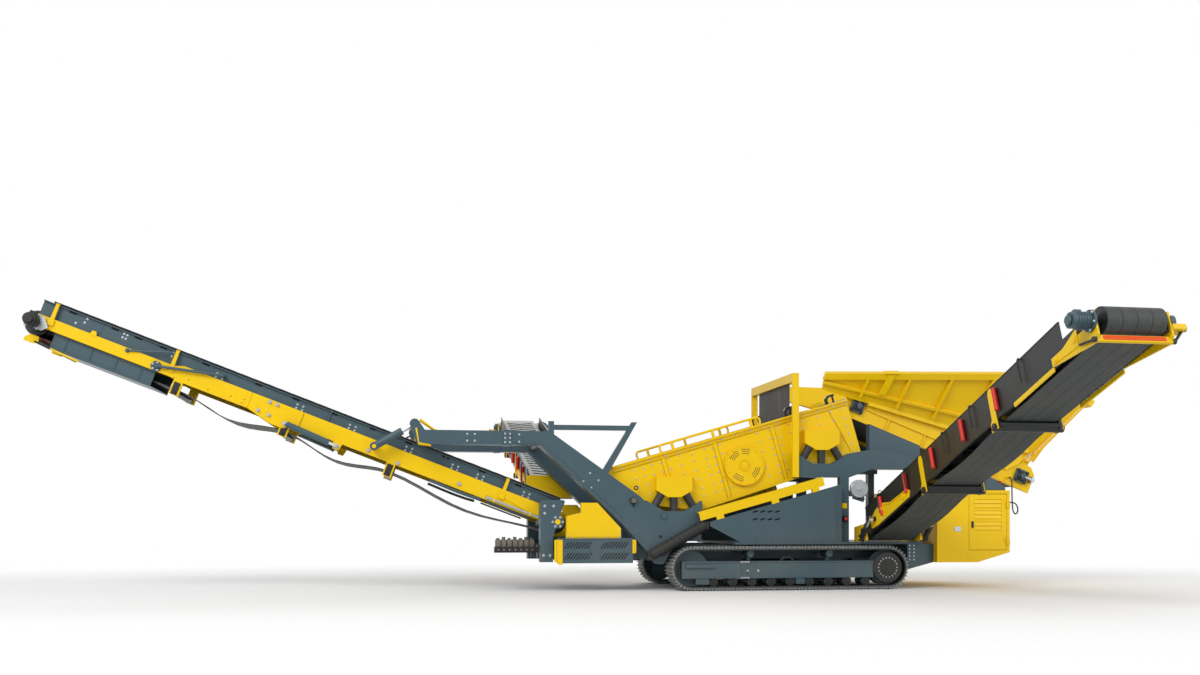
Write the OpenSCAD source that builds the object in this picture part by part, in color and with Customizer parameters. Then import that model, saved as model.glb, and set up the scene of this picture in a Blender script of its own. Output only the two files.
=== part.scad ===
// Track-mounted vibrating screen with a feed hopper, a front conveyor and two side conveyors.
// Millimetres, +X to the hopper end, +Y to the far side, +Z up.
// Origin: centre of the bounding box at ground level.

/* [Tracks] */
// Overall length of one track
track_length = 4200; // [3600:50:4800]
// Overall height of one track
track_height = 750; // [650:10:850]
// Distance between the two track centre lines
track_gauge = 2400; // [2300:10:2600]
// Width of a track shoe
shoe_width = 500; // [400:10:560]
// Number of shoes on one track
shoe_count = 50; // [40:1:60]
// Thickness of a shoe plate with its link
shoe_thickness = 45; // [35:1:60]
// Height of the grouser bars on a shoe
grouser_height = 28; // [18:1:40]
// Width of the track frame box
track_frame_width = 400; // [320:10:440]
// Height of the track frame box
track_frame_height = 290; // [240:5:330]
// Radius of a bottom roller
roller_radius = 75; // [60:1:90]
// Number of bottom rollers on one track
roller_count = 9; // [6:1:11]
// Radius of the final drive cover
drive_cover_radius = 190; // [150:5:230]

/* [Chassis] */
// Half width over the two long beams
chassis_half = 850; // [820:5:880]
// Width of one long beam
beam_width = 200; // [160:5:260]
// Underside of the long beams above ground
beam_bottom = 520; // [480:5:580]
// Top of the deck plate above ground
deck_top = 812; // [800:2:860]
// Thickness of the deck plate
deck_thickness = 40; // [30:1:46]
// Half width of the deck plate
deck_half = 1300; // [1250:10:1400]
// Front end of the long beams, ahead of the track centre
chassis_front = 4200; // [4000:20:4400]
// Rear end of the long beams, behind the track centre
chassis_rear = 2640; // [2500:10:2750]
// Thickness of the grey side panels
panel_thickness = 60; // [40:1:80]
// Height of the side panels at their rear end
panel_rear_height = 990; // [900:5:1080]
// Height of the side panels at their front tip
panel_front_height = 345; // [300:5:400]
// Length of the side panels
panel_length = 2330; // [2200:10:2450]
// Rear edge of the side panels behind the track centre
panel_rear = 940; // [880:5:1000]

/* [Gantry] */
// Width of one gantry girder
girder_width = 300; // [240:5:340]
// Length of the level girder arm from its elbow
arm_length = 2050; // [1900:10:2200]
// Depth of the level girder arm
arm_depth = 230; // [190:5:270]
// Top of the level girder arm above ground
arm_top = 2660; // [2600:10:2760]
// Elbow of the girder ahead of the track centre
elbow_x = 4090; // [4000:10:4180]
// Level run of the underside beyond the elbow
elbow_inset = 170; // [140:5:220]
// Knee of the girder leg ahead of the track centre
knee_x = 2545; // [2480:5:2600]
// Knee of the girder leg above ground
knee_z = 1574; // [1540:2:1620]
// Top of the girder foot above ground
foot_top = 1130; // [1110:2:1160]
// Front end of the foot's level top ahead of the track centre
foot_front = 2100; // [2060:5:2150]
// Rear end of the girder foot ahead of the track centre
foot_rear = 1500; // [1440:5:1560]
// Shin of the girder leg ahead of the track centre
shin_x = 2872; // [2840:5:2920]
// Toe of the girder leg ahead of the track centre
toe_x = 2250; // [2220:5:2300]
// Toe of the girder leg above ground
toe_z = 442; // [400:5:480]
// Length of the toe's level underside
toe_length = 90; // [60:5:110]
// Lift pin of the front conveyor beyond the arm's tip
tip_pin_reach = 165; // [140:5:200]
// Lift pin of the front conveyor above the arm's top
tip_pin_rise = 100; // [80:5:130]
// Radius of the lift pins
lift_pin_radius = 32; // [26:1:38]

/* [Front housing] */
// Length of the slotted housing
slot_box_length = 1230; // [1150:10:1300]
// Front face of the slotted housing ahead of the track centre
slot_box_front = 3933; // [3880:5:3980]
// Underside of the slotted housing above ground
slot_box_bottom = 470; // [440:5:500]
// Top of the slotted housing above ground
slot_box_top = 885; // [860:5:910]
// Half width over the slotted housings
slot_box_half = 1250; // [1200:10:1300]
// Height of the yellow panel on the slotted housing
hood_height = 590; // [540:5:630]
// Length of the yellow panel's top edge
hood_top_length = 270; // [220:5:320]
// Front post width along the machine
post_length = 210; // [170:5:240]
// Front post front face ahead of the track centre
post_front = 4240; // [4215:5:4280]
// Top of the front post above ground
post_top = 1520; // [1450:10:1560]
// Depth of one louvre slot
slot_depth = 24; // [12:1:40]
// Number of louvre slots in a row
slot_count = 9; // [5:1:12]

/* [Screen box] */
// Thickness of a screen side plate
side_plate = 30; // [20:1:40]
// Half width over the screen side plates
screen_half = 1000; // [960:5:1020]
// Front tip of the screen box ahead of the track centre
screen_front = 3162; // [3120:2:3200]
// Height of the screen box front tip above ground
screen_front_z = 2036; // [2000:2:2070]
// Length of the screen box along its slope
screen_length = 4480; // [4380:10:4560]
// Slope of the screen box
screen_angle = 16.4; // [15.8:0.1:17]
// Depth of the screen side at its front lip
lip_depth = 790; // [760:5:820]
// Run of the screen side to its front lip
lip_run = 600; // [560:5:640]
// Depth of the screen side at its belly
belly_depth = 1130; // [1100:5:1160]
// Run of the screen side to its belly
belly_run = 1410; // [1380:5:1450]
// Depth of the screen side at the rear end
screen_depth = 1050; // [1020:5:1080]
// Radius of the exciter cover
exciter_radius = 350; // [320:5:380]
// Height of the flange along the screen's top edge
top_flange = 90; // [60:2:110]
// Thickness of a screen deck panel
deck_panel = 50; // [35:1:70]
// Radius of the cross tubes in the screen box
cross_tube = 70; // [50:1:90]
// Radius of a rubber buffer
buffer_radius = 66; // [58:1:67]
// Length of a rubber buffer
buffer_length = 235; // [200:5:260]
// Lean of the outer buffers from the middle one
buffer_spread = 30; // [28:0.5:32]
// Distance of the buffer fan's centre from the buffer tops
buffer_fan = 424; // [410:2:440]
// Centre of the front buffer fan ahead of the track centre
front_fan_x = 1970; // [1955:1:1985]
// Centre of the front buffer fan above ground
front_fan_z = 1999; // [1990:1:2010]
// Centre of the rear buffer fan behind the track centre
rear_fan_x = 650; // [635:1:665]
// Centre of the rear buffer fan above ground
rear_fan_z = 2825; // [2815:1:2835]
// Width of the buffer brackets across the machine
bracket_width = 136; // [134:1:138]

/* [Portal] */
// Width of the portal legs along the machine
portal_width = 110; // [90:5:130]
// Thickness of the portal legs across the machine
portal_thick = 60; // [40:2:80]
// Top of the portal above ground
portal_top = 3710; // [3650:10:3760]
// Depth of the portal head beam
portal_head = 150; // [120:5:180]
// Centre of the portal behind the track centre
portal_x = 150; // [120:5:180]
// Length of the rubber curtain
curtain_length = 560; // [480:10:620]
// Thickness of the rubber curtain
curtain_thick = 14; // [10:1:20]

/* [Feeder and hopper] */
// Distance between the feeder's drum shafts
feeder_length = 3322; // [3250:10:3400]
// Slope of the feeder
feeder_angle = 21.36; // [20.8:0.02:22]
// Feeder head shaft behind the track centre
feeder_head_x = 1379; // [1350:2:1400]
// Feeder head shaft above ground
feeder_head_z = 3189; // [3160:2:3210]
// Radius of the feeder drums
feeder_drum = 170; // [150:5:190]
// Half width over the feeder side frames
feeder_half = 900; // [880:5:920]
// Thickness of a feeder side frame
feeder_plate = 40; // [30:1:50]
// Depth of the feeder side frame above its shafts
feeder_above = 230; // [210:5:260]
// Depth of the feeder side frame below its shafts
feeder_below = 230; // [210:5:260]
// Half width of the feeder belt
feeder_belt_half = 780; // [740:5:800]
// Outward lean of a hopper wing
wing_lean = 30; // [26:1:34]
// Slope of a hopper wing's lower edge
wing_slope = 15; // [14:0.2:16]
// Front end of a hopper wing behind the track centre
wing_front = 700; // [680:5:740]
// Lower front corner of a hopper wing above ground
wing_front_z = 3470; // [3440:5:3500]
// Level of the hopper wings' top edge
wing_top = 3760; // [3700:10:3800]
// Length of the level top edge of a hopper wing
wing_top_length = 3150; // [3000:10:3250]
// Thickness of the hopper plates
hopper_plate = 30; // [20:1:40]
// Depth of the ribs on the hopper plates
hopper_rib = 70; // [50:2:90]
// Side of the square rail at the foot of a hopper wing
wing_rail = 90; // [70:2:110]
// Lean of the hopper's rear wall
rear_lean = 37.5; // [35:0.5:40]
// Height of the hopper's rear wall along its slope
rear_wall = 1420; // [1350:10:1500]

/* [Cabinet] */
// Length of the rear cabinet
cabinet_length = 1357; // [1280:5:1420]
// Underside of the rear cabinet above ground
cabinet_bottom = 455; // [430:5:480]
// Top of the rear cabinet above ground
cabinet_top = 1710; // [1660:5:1740]
// Half width of the rear cabinet
cabinet_half = 1400; // [1360:5:1430]
// Thickness of the cabinet walls
cabinet_wall = 40; // [30:1:50]
// Length of the cabinet door
door_length = 700; // [640:5:740]
// Gap round the cabinet door
door_gap = 8; // [6:0.5:12]
// Number of louvres in the door
louvre_count = 3; // [2:1:5]

/* [Front conveyor] */
// Distance between the drums of the front conveyor
fc_length = 8842; // [8600:10:9000]
// Slope of the front conveyor
fc_angle = 20.9; // [20.2:0.1:21.6]
// Tail shaft of the front conveyor ahead of the track centre
fc_tail_x = 3950; // [3920:5:3990]
// Tail shaft of the front conveyor above ground
fc_tail_z = 1157; // [1140:1:1180]
// Radius of the front conveyor's drums
fc_drum = 190; // [170:2:210]
// Half width of the front conveyor's belt
fc_belt_half = 600; // [560:5:630]
// Half width over the front conveyor's beams
fc_half = 780; // [750:5:800]
// Width of one front conveyor beam
fc_beam_width = 70; // [50:2:90]
// Top of the front conveyor beams over the drum line
fc_beam_top = 195; // [180:5:210]
// Underside of the front conveyor beams under the drum line
fc_beam_bottom = 70; // [60:2:90]
// Top of the skirts over the drum line
fc_skirt_top = 384; // [360:2:400]
// Thickness of a skirt board
skirt_thick = 16; // [10:1:24]
// Length of the slimmer beam at the head
fc_head_length = 2350; // [2200:10:2500]
// Distance of the folding joint from the tail
fc_fold = 4940; // [4860:10:5020]
// Sag of the return belt
fc_sag = 150; // [90:5:180]
// Thickness of the conveyor belts
belt_thick = 14; // [10:1:18]
// Lift lug of the front conveyor along its drum line
lift_lug_run = 3248; // [3200:2:3300]
// Lift lug of the front conveyor over its drum line
lift_lug_rise = 78; // [60:2:100]
// Pin centre of the lift cylinders off the centre plane
lift_pin_y = 1000; // [990:1:1010]
// Radius of a lift cylinder barrel
lift_barrel = 62; // [54:1:70]
// Radius of a lift cylinder rod
lift_rod_radius = 34; // [28:1:40]
// Length of a lift cylinder barrel from its pin
lift_barrel_length = 520; // [505:5:535]
// Length of a lift cylinder rod from its pin
lift_rod_length = 470; // [455:5:480]

/* [Side conveyors] */
// Distance between the drums of the near side conveyor
near_length = 7200; // [7000:10:7400]
// Slope of the near side conveyor
near_angle = 20; // [19:0.1:21]
// Slope of the far side conveyor
far_angle = 14.3; // [13.5:0.1:15]
// Middle of the near side conveyor behind the track centre
near_x = 1820; // [1790:5:1850]
// Middle of the far side conveyor ahead of the track centre
far_x = 3720; // [3690:5:3750]
// Tail shaft of the near side conveyor off the centre plane
near_tail_y = 1290; // [1270:2:1310]
// Tail shaft of the near side conveyor above ground
near_tail_z = 1015; // [1005:1:1030]
// Tail shaft of the far side conveyor off the centre plane
far_tail_y = 1420; // [1405:5:1450]
// Tail shaft of the far side conveyor above ground
far_tail_z = 1760; // [1740:1:1790]
// Radius of the side conveyors' drums
sc_drum = 160; // [145:1:165]
// Half width of a side conveyor's belt
sc_belt_half = 375; // [355:5:390]
// Half width over the frames of a side conveyor
sc_half = 460; // [445:5:475]
// Width of one side conveyor frame rail
sc_rail_width = 40; // [30:1:50]
// Depth of the side conveyor frame under the drum line
sc_rail_bottom = 130; // [110:5:150]
// Depth of the side conveyor frame over the drum line
sc_rail_top = 110; // [90:5:130]
// Top of the side conveyor skirts over the drum line
sc_skirt_top = 350; // [320:5:380]
// Sag of the side conveyors' return belt
sc_sag = 60; // [30:5:90]
// Gap between a side conveyor and its base arms
arm_gap = 12; // [8:1:18]
// Thickness of a base arm plate
arm_plate = 45; // [35:1:55]
// Lift lug of a side conveyor along its drum line
sc_lug_run = 560; // [540:5:580]
// Radius of a side conveyor cylinder barrel
sc_barrel = 48; // [42:1:54]
// Radius of a side conveyor cylinder rod
sc_rod = 24; // [20:1:28]
// Radius of the side conveyors' cylinder pins
sc_pin = 22; // [18:1:26]

/* [Fits] */
// Running gap between a rod and its barrel
rod_gap = 0.4; // [0.3:0.1:0.8]
// Gap round the open pin of a cylinder
pin_gap = 9; // [6:0.5:14]
// Gap between a pin and the lug that carries it
lug_gap = 0.5; // [0.3:0.1:0.8]
// Gap between a sloping seat and the piece on it
seat_gap = 0.05; // [0.02:0.01:0.2]

/* [Hidden] */
$fn = 48;

yellow = "#F2CE00";
grey = "#4A5A62";
black = "#2B2D2B";
steel = "#B9BDC0";
red = "#D8352A";

// Tracks: the shoes run round two end wheels
wheel_z = track_height / 2;
wheel_x = track_length / 2 - wheel_z;
shoe_base = wheel_z - grouser_height;
loop_radius = shoe_base - shoe_thickness;
track_y = track_gauge / 2;
track_inner = track_y - shoe_width / 2;
track_outer = track_y + shoe_width / 2;
frame_inner = track_y - track_frame_width / 2;
frame_outer = track_y + track_frame_width / 2;
loop_straight = 2 * wheel_x;
loop_arc = PI * shoe_base;
loop_length = 2 * (loop_straight + loop_arc);
shoe_pitch = loop_length / shoe_count;
shoe_gap = shoe_thickness / 3;
shoe_joint = shoe_pitch / 24;
grouser_top = shoe_pitch / 14;
grouser_slope = shoe_pitch / 40;

// Gantry
arm_tip = elbow_x + arm_length;
arm_bottom = arm_top - arm_depth;
girder_outer = chassis_half + girder_width;
lift_top = [-arm_tip - tip_pin_reach, arm_top + tip_pin_rise];
knee_slope = (knee_z - foot_top) / (knee_x - foot_front);

// Buffers and their seats
bracket_inner = girder_outer - bracket_width;
buffer_y = bracket_inner + bracket_width / 2;
fan_corner = buffer_spread / 2;
seat_radius = buffer_fan + buffer_length;
support_depth = 240;
seat_edge = 20;
support_clear = 128;
support_bottom = rear_fan_z - seat_radius - support_depth;
support_left = rear_fan_x - seat_radius * sin(3 * fan_corner) / cos(fan_corner) - seat_edge;
screen_rear = screen_length * cos(screen_angle) + screen_depth * sin(screen_angle) - screen_front;
support_step = screen_rear + support_clear;

// Front conveyor
fc_inner = fc_half - fc_beam_width;
fc_head_x = fc_tail_x + fc_length * cos(fc_angle);
lift_foot = [
  -fc_tail_x - lift_lug_run * cos(fc_angle) + lift_lug_rise * sin(fc_angle),
  fc_tail_z + lift_lug_run * sin(fc_angle) + lift_lug_rise * cos(fc_angle)
];
lift_slope = atan2(lift_top[1] - lift_foot[1], lift_top[0] - lift_foot[0]);

// Side conveyors: the far one reaches out as far as the near one
near_reach = near_tail_y + near_length * cos(near_angle);
far_length = (near_reach - far_tail_y) / cos(far_angle);
sc_inner = sc_half - sc_rail_width;
arm_inner = sc_half + arm_gap;
arm_outer = arm_inner + arm_plate;
sc_cylinder_y = arm_outer + arm_gap + sc_barrel;
sc_pin_end = sc_cylinder_y + sc_barrel;

// Feeder and hopper
feeder_tan = tan(feeder_angle);
skirt_outer = feeder_half + hopper_plate;
rail_y = skirt_outer + wing_rail / 2;
rear_inset = 20;
rear_run = feeder_length - rear_inset;
rear_foot = [
  feeder_head_x + rear_run * cos(feeder_angle) + feeder_above * sin(feeder_angle),
  feeder_head_z - rear_run * sin(feeder_angle) + feeder_above * cos(feeder_angle)
];
rear_reach = rear_foot[0] + rear_wall * sin(rear_lean) + (hopper_plate + hopper_rib) * cos(rear_lean);

// Cabinet
cabinet_front = chassis_rear;
cabinet_rear = cabinet_front + cabinet_length;

// The bounding box is centred on the origin along the machine
front_reach = fc_head_x + fc_drum + belt_thick;
shift_x = (front_reach - rear_reach) / 2;

module site() {
  translate([shift_x, 0, 0])
    children();
}

module both() {
  children();
  mirror([0, 1, 0])
    children();
}

// A block between two opposite corners
module block(low, high) {
  translate(low)
    cube(high - low);
}

// A plate with its outline in the x-z plane, between two y planes
module slab(outline, low, high) {
  translate([0, high, 0])
    rotate([90, 0, 0])
      linear_extrude(height = high - low)
        polygon(outline);
}

// A round bar along y
module bar_y(x, z, radius, low, high) {
  translate([x, low, z])
    rotate([-90, 0, 0])
      cylinder(r = radius, h = high - low);
}

// A round bar between two points of the x-z plane
module bar_xz(from, to, radius, y) {
  run = to - from;
  translate([from[0], y, from[1]])
    rotate([0, 90 - atan2(run[1], run[0]), 0])
      cylinder(r = radius, h = norm(run));
}

// A point of the track loop, at a run along the shoe bases and a height over them
function track_point(run, height) =
  let(radius = shoe_base + height)
  run < loop_straight ? [-wheel_x + run, wheel_z - radius]
  : run < loop_straight + loop_arc
    ? let(turn = 180 * (run - loop_straight) / loop_arc - 90)
      [wheel_x + radius * cos(turn), wheel_z + radius * sin(turn)]
  : run < 2 * loop_straight + loop_arc
    ? [wheel_x - (run - loop_straight - loop_arc), wheel_z + radius]
  : let(turn = 180 * (run - 2 * loop_straight - loop_arc) / loop_arc + 90)
    [-wheel_x + radius * cos(turn), wheel_z + radius * sin(turn)];

// Outline of one shoe: the joint to the last shoe, then three grouser bars
shoe_outline = concat(
  [[0, -shoe_gap], [shoe_joint, -shoe_gap], [shoe_joint, 0]],
  [
    for (bar = [1 : 3])
      let(middle = shoe_joint + (shoe_pitch - shoe_joint) * (2 * bar - 1) / 6)
      for (side = [-1, 1])
        let(top = middle + side * grouser_top / 2)
        let(foot = top + side * grouser_slope)
        for (corner = side < 0 ? [[foot, 0], [top, grouser_height]] : [[top, grouser_height], [foot, 0]])
          corner
  ],
  [[shoe_pitch, 0]]
);

track_outline = [
  for (shoe = [0 : shoe_count - 1])
    for (corner = shoe_outline)
      track_point((shoe * shoe_pitch + corner[0]) % loop_length, corner[1])
];

module loop_inside() {
  square([loop_straight, 2 * loop_radius], center = true);
  for (end = [-wheel_x, wheel_x])
    translate([end, 0])
      circle(r = loop_radius);
}

module tracks() {
  color(black) site() both()
    translate([0, -track_inner, 0])
      rotate([90, 0, 0])
        linear_extrude(height = shoe_width)
          difference() {
            polygon(track_outline);
            translate([0, wheel_z])
              loop_inside();
          }
}

frame_reach = 175;
frame_cut = 255;
frame_front = wheel_x + frame_reach;
frame_rear = wheel_x - frame_cut;
frame_bottom = 205;
frame_top = frame_bottom + track_frame_height;
wheel_width = 150;
drive_width = 420;
drive_arm = 120;
top_roller = 60;
top_roller_x = 700;
step_height = 45;
step_drop = 60;
step_length = 500;
step_width = 40;

module track_frames() {
  color(grey) site() both() {
    block([-frame_front, -frame_outer, frame_bottom], [frame_rear, -frame_inner, frame_top]);
    // Idler and sprocket
    for (end = [-wheel_x, wheel_x])
      bar_y(end, wheel_z, loop_radius, -track_y - wheel_width / 2, -track_y + wheel_width / 2);
    block([0, -frame_inner - drive_arm, wheel_z - drive_arm], [wheel_x, -frame_inner, wheel_z + drive_arm]);
    bar_y(wheel_x, wheel_z, drive_cover_radius, -track_y - drive_width / 2, -frame_inner);
    // Bottom rollers
    for (roller = [0 : roller_count - 1])
      bar_y(
        -wheel_x + roller_radius * 5 + roller * (2 * wheel_x - roller_radius * 10) / (roller_count - 1),
        wheel_z - loop_radius + roller_radius, roller_radius,
        -frame_outer + step_width, -frame_inner - step_width
      );
    // Top rollers on their stands
    for (x = [-top_roller_x, top_roller_x]) {
      bar_y(
        x, wheel_z + loop_radius - top_roller, top_roller, -track_y - wheel_width, -track_y + wheel_width
      );
      block(
        [x - top_roller / 2, -track_y - step_width, frame_top - step_width],
        [x + top_roller / 2, -track_y + step_width, wheel_z + loop_radius - top_roller]
      );
    }
    // Step on the outer face
    block(
      [-frame_front + step_drop, -frame_outer - step_width, frame_top - step_drop - step_height],
      [-frame_front + step_drop + step_length, -frame_outer, frame_top - step_drop]
    );
  }
}

deck_front = 950;
deck_rear = 2400;
deck_bottom = deck_top - deck_thickness;
bolster_x = 900;
bolster_half = 150;
bolster_bottom = 260;
tie_positions = [-3900, -2200, 0, 1900];
tie_half = 120;
tail_plate = 60;
tail_gap = 60;
tail_inset = 50;
tail_front = track_length / 2 + tail_gap;
tail_half = deck_half - tail_inset;
tail_bottom = 330;

module chassis() {
  color(grey) site() both()
    block(
      [-chassis_front, -chassis_half, beam_bottom],
      [chassis_rear, beam_width - chassis_half, deck_bottom]
    );
}

module cross_ties() {
  color(grey) site() {
    for (x = tie_positions)
      block(
        [x - tie_half, beam_width - chassis_half, beam_bottom],
        [x + tie_half, chassis_half - beam_width, deck_bottom]
      );
    // Bolsters to the track frames
    for (x = [-bolster_x, bolster_x])
      block([x - bolster_half, -frame_inner, bolster_bottom], [x + bolster_half, frame_inner, beam_bottom]);
  }
}

module deck_plate() {
  color(grey) site()
    block([-deck_front, -deck_half, deck_bottom], [deck_rear, deck_half, deck_top]);
}

// Plates between the tracks and the cabinet
module tail_plates() {
  color(grey) site() both() {
    slab(
      [
        [tail_front, deck_bottom], [chassis_rear, deck_bottom],
        [chassis_rear, cabinet_bottom], [tail_front, tail_bottom]
      ],
      -tail_half, tail_plate - tail_half
    );
    block([tail_front, -tail_half, deck_bottom - tail_plate], [chassis_rear, -chassis_half, deck_bottom]);
  }
}

panel_front = panel_rear - panel_length;
panel_top = deck_top + panel_rear_height;
panel_tip = deck_top + panel_front_height;
panel_nose = 70;
panel_toe_run = 530;
panel_tip_low = panel_tip - panel_nose;
panel_toe = panel_front + panel_toe_run;
panel_slope = atan2(panel_top - panel_tip, panel_length);
panel_slots = 4;
panel_slot = [90, 26];
panel_slot_step = 130;
panel_slot_depth = 20;

module side_panels() {
  color(grey) site() both()
    difference() {
      slab(
        [
          [panel_front, panel_tip_low], [panel_toe, deck_top], [panel_rear, deck_top],
          [panel_rear, panel_top], [panel_front, panel_tip]
        ],
        -deck_half, panel_thickness - deck_half
      );
      for (column = [0 : panel_slots - 1])
        for (row = [0, 1])
          translate([
            panel_toe + panel_slot_step * (column + 2), -deck_half,
            deck_top + panel_slot_step * (4 - row)
          ])
            rotate([0, -panel_slope, 0])
              cube([panel_slot[0], 2 * panel_slot_depth, panel_slot[1]], center = true);
    }
}

guard_length = 2270;
guard_start = -150;
guard_depth = 150;
guard_lift = 60;
guard_foot = 130;
guard_width = 130;
guard_plate = 16;

module guard_beams() {
  color(yellow) site() both()
    translate([panel_front, 0, panel_tip])
      rotate([0, -panel_slope, 0]) {
        // Channel open below, on feet
        difference() {
          block(
            [guard_start, -deck_half, guard_lift],
            [guard_start + guard_length, guard_width - deck_half, guard_lift + guard_depth]
          );
          block(
            [guard_start - 1, guard_plate - deck_half, guard_lift - 1],
            [guard_start + guard_length + 1, guard_width, guard_lift + guard_depth - guard_plate]
          );
        }
        for (run = [guard_foot, guard_length / 2, guard_length - 3 * guard_foot])
          block(
            [run, -deck_half, seat_gap],
            [run + guard_foot, panel_thickness - deck_half, guard_lift + guard_depth - guard_plate]
          );
      }
}

// Corner of a buffer seat, at a turn from straight down under the fan's centre
function fan_point(centre, radius, turn) =
  centre + radius / cos(fan_corner) * [sin(turn), -cos(turn)];

fan_turns = [-3 * fan_corner, -fan_corner, fan_corner, 3 * fan_corner];
front_fan = [-front_fan_x, front_fan_z];
rear_fan = [rear_fan_x, rear_fan_z];
foot_bottom = 840;
heel_x = 1930;
ear_plate = 70;
ear_radius = 80;
ear_run = 120;
front_seat = [for (turn = fan_turns) fan_point(front_fan, seat_radius, turn)];

module girders() {
  color(grey) site() both() {
    slab(
      [
        [-arm_tip, arm_bottom], [-elbow_x - elbow_inset, arm_bottom], [-shin_x, foot_top],
        [-toe_x, toe_z], [toe_length - toe_x, toe_z], [-heel_x, foot_bottom], [-foot_rear, foot_bottom],
        [-foot_rear, foot_top], [-foot_front, foot_top], [-knee_x, knee_z],
        [-elbow_x, arm_top], [-arm_tip, arm_top]
      ],
      -girder_outer, -chassis_half
    );
    // Seat of the front buffers on the foot
    slab(
      concat(
        front_seat,
        [
          [front_seat[3][0], foot_top], [-foot_front, foot_top],
          [front_seat[0][0], foot_top + knee_slope * (-foot_front - front_seat[0][0])]
        ]
      ),
      -girder_outer, -bracket_inner
    );
    // Clevis ears with the lift pin
    for (y = [-girder_outer, -chassis_half - ear_plate]) {
      slab(
        [
          [-arm_tip, arm_bottom], [-arm_tip, arm_top],
          [lift_top[0] + ear_radius * cos(30), lift_top[1] + ear_radius / 2],
          [lift_top[0] - ear_radius * cos(30), lift_top[1] - ear_radius / 2], [-arm_tip - ear_run, arm_bottom]
        ],
        y, y + ear_plate
      );
      bar_y(lift_top[0], lift_top[1], ear_radius, y, y + ear_plate);
    }
    bar_y(lift_top[0], lift_top[1], lift_pin_radius, -girder_outer, -chassis_half);
  }
}

tie_radius = 88;
tie_inset = 60;
tie_x = elbow_x + tie_inset;

module gantry_tie() {
  color(grey) site()
    bar_y(-tie_x, arm_top - arm_depth / 2, tie_radius, -chassis_half, chassis_half);
}

slot_lean = 35;
slot_width = 22;
slot_step = 48;
slot_height = 110;
slot_rows = [0.28, 0.72];
slot_groups = [110, 730];

module louvre_slot() {
  shift = slot_height * tan(slot_lean) / 2;
  polygon([
    [-shift - slot_width / 2, -slot_height / 2], [slot_width / 2 - shift, -slot_height / 2],
    [shift + slot_width / 2, slot_height / 2], [shift - slot_width / 2, slot_height / 2]
  ]);
}

module slot_boxes() {
  color(grey) site() both()
    difference() {
      block(
        [-slot_box_front, -slot_box_half, slot_box_bottom],
        [slot_box_length - slot_box_front, -chassis_half, slot_box_top]
      );
      translate([0, slot_depth - slot_box_half, 0])
        rotate([90, 0, 0])
          linear_extrude(height = 2 * slot_depth)
            for (group = slot_groups)
              for (row = slot_rows)
                for (slot = [0 : slot_count - 1])
                  translate([
                    group + slot * slot_step - slot_box_front,
                    slot_box_bottom + row * (slot_box_top - slot_box_bottom)
                  ])
                    louvre_slot();
    }
}

hood_front = 3818;
hood_rear = 2900;
hood_step = 165;
hood_inner = 1080;
hood_outer = 1200;
hood_top = slot_box_top + hood_height;
shin_slope = (arm_bottom - foot_top) / (elbow_x + elbow_inset - shin_x);
hood_gap = 60;

// Underside of the girder leg over a place ahead of the track centre
function shin_line(z) = shin_x + (z - foot_top) / shin_slope;

module hoods() {
  color(yellow) site() both()
    slab(
      [
        [-hood_front, slot_box_top], [-hood_rear, slot_box_top], [-hood_rear, slot_box_top + hood_step],
        [-shin_line(hood_top) - hood_gap, hood_top],
        [-shin_line(hood_top) - hood_gap - hood_top_length, hood_top],
        [-shin_line(hood_top) - hood_gap - hood_top_length, hood_top - hood_step],
        [-hood_front, hood_top - hood_step - hood_gap]
      ],
      -hood_outer, -hood_inner
    );
}

post_outer = 1100;
post_bottom = 486;
post_flare = 190;
post_knee = 900;
tail_boss = 110;

module front_posts() {
  color(grey) site() both()
    difference() {
      union() {
        slab(
          [
            [-post_front, post_bottom], [post_length - post_front, post_bottom],
            [post_length - post_front, post_knee], [post_length + post_flare - post_front, post_top],
            [-post_front, post_top]
          ],
          -post_outer, -chassis_half
        );
        bar_y(-fc_tail_x, fc_tail_z, tail_boss, -post_outer, -chassis_half);
      }
      bar_y(-fc_tail_x, fc_tail_z, shaft_radius + lug_gap, -post_outer - 1, 1 - chassis_half);
    }
}

module on_screen() {
  translate([-screen_front, 0, screen_front_z])
    rotate([0, -screen_angle, 0])
      children();
}

screen_inner = screen_half - side_plate;
flange_start = 150;
flange_width = 55;
doubler = 8;
seam_width = 60;
seam_depth = 700;
seam_runs = [1010, 1950, 3010];
yoke_depth = 230;

// Yellow yoke over a fan of buffers, with one flat face per buffer
module yoke(centre) {
  outline = [for (turn = fan_turns) fan_point(centre, buffer_fan, turn)];
  slab(
    concat(outline, [outline[3] + [0, yoke_depth], outline[0] + [0, yoke_depth]]),
    -girder_outer, side_plate / 2 - screen_half
  );
}

module screen_sides() {
  color(yellow) site() both() {
    on_screen() {
      slab(
        [
          [0, 0], [lip_run, -lip_depth], [belly_run, -belly_depth],
          [screen_length, -screen_depth], [screen_length, 0]
        ],
        -screen_half, -screen_inner
      );
      block([flange_start, -screen_half - flange_width, -top_flange / 3], [screen_length, -screen_half, 0]);
      block([flange_start, -screen_half - doubler, -top_flange], [screen_length, -screen_half, 0]);
      for (run = seam_runs)
        block([run, -screen_half - doubler, -seam_depth], [run + seam_width, -screen_half, 0]);
    }
    yoke(front_fan);
    yoke(rear_fan);
  }
}

top_deck_depth = 330;
low_deck_depth = 850;
deck_start = 380;
low_deck_start = 900;
mesh_bars = 13;
mesh_bar = 26;

// A flat screen deck: a frame of plates with long apertures between bars
module deck(start, depth) {
  on_screen() {
    block([start, -screen_inner, -depth - deck_panel], [screen_length, screen_inner, -depth]);
    for (bar = [0 : mesh_bars - 1])
      translate([0, (bar - (mesh_bars - 1) / 2) * 2 * (screen_inner - 2 * mesh_bar) / (mesh_bars - 1), 0])
        block([start, -mesh_bar / 2, -depth], [screen_length, mesh_bar / 2, mesh_bar - depth]);
  }
}

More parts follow.
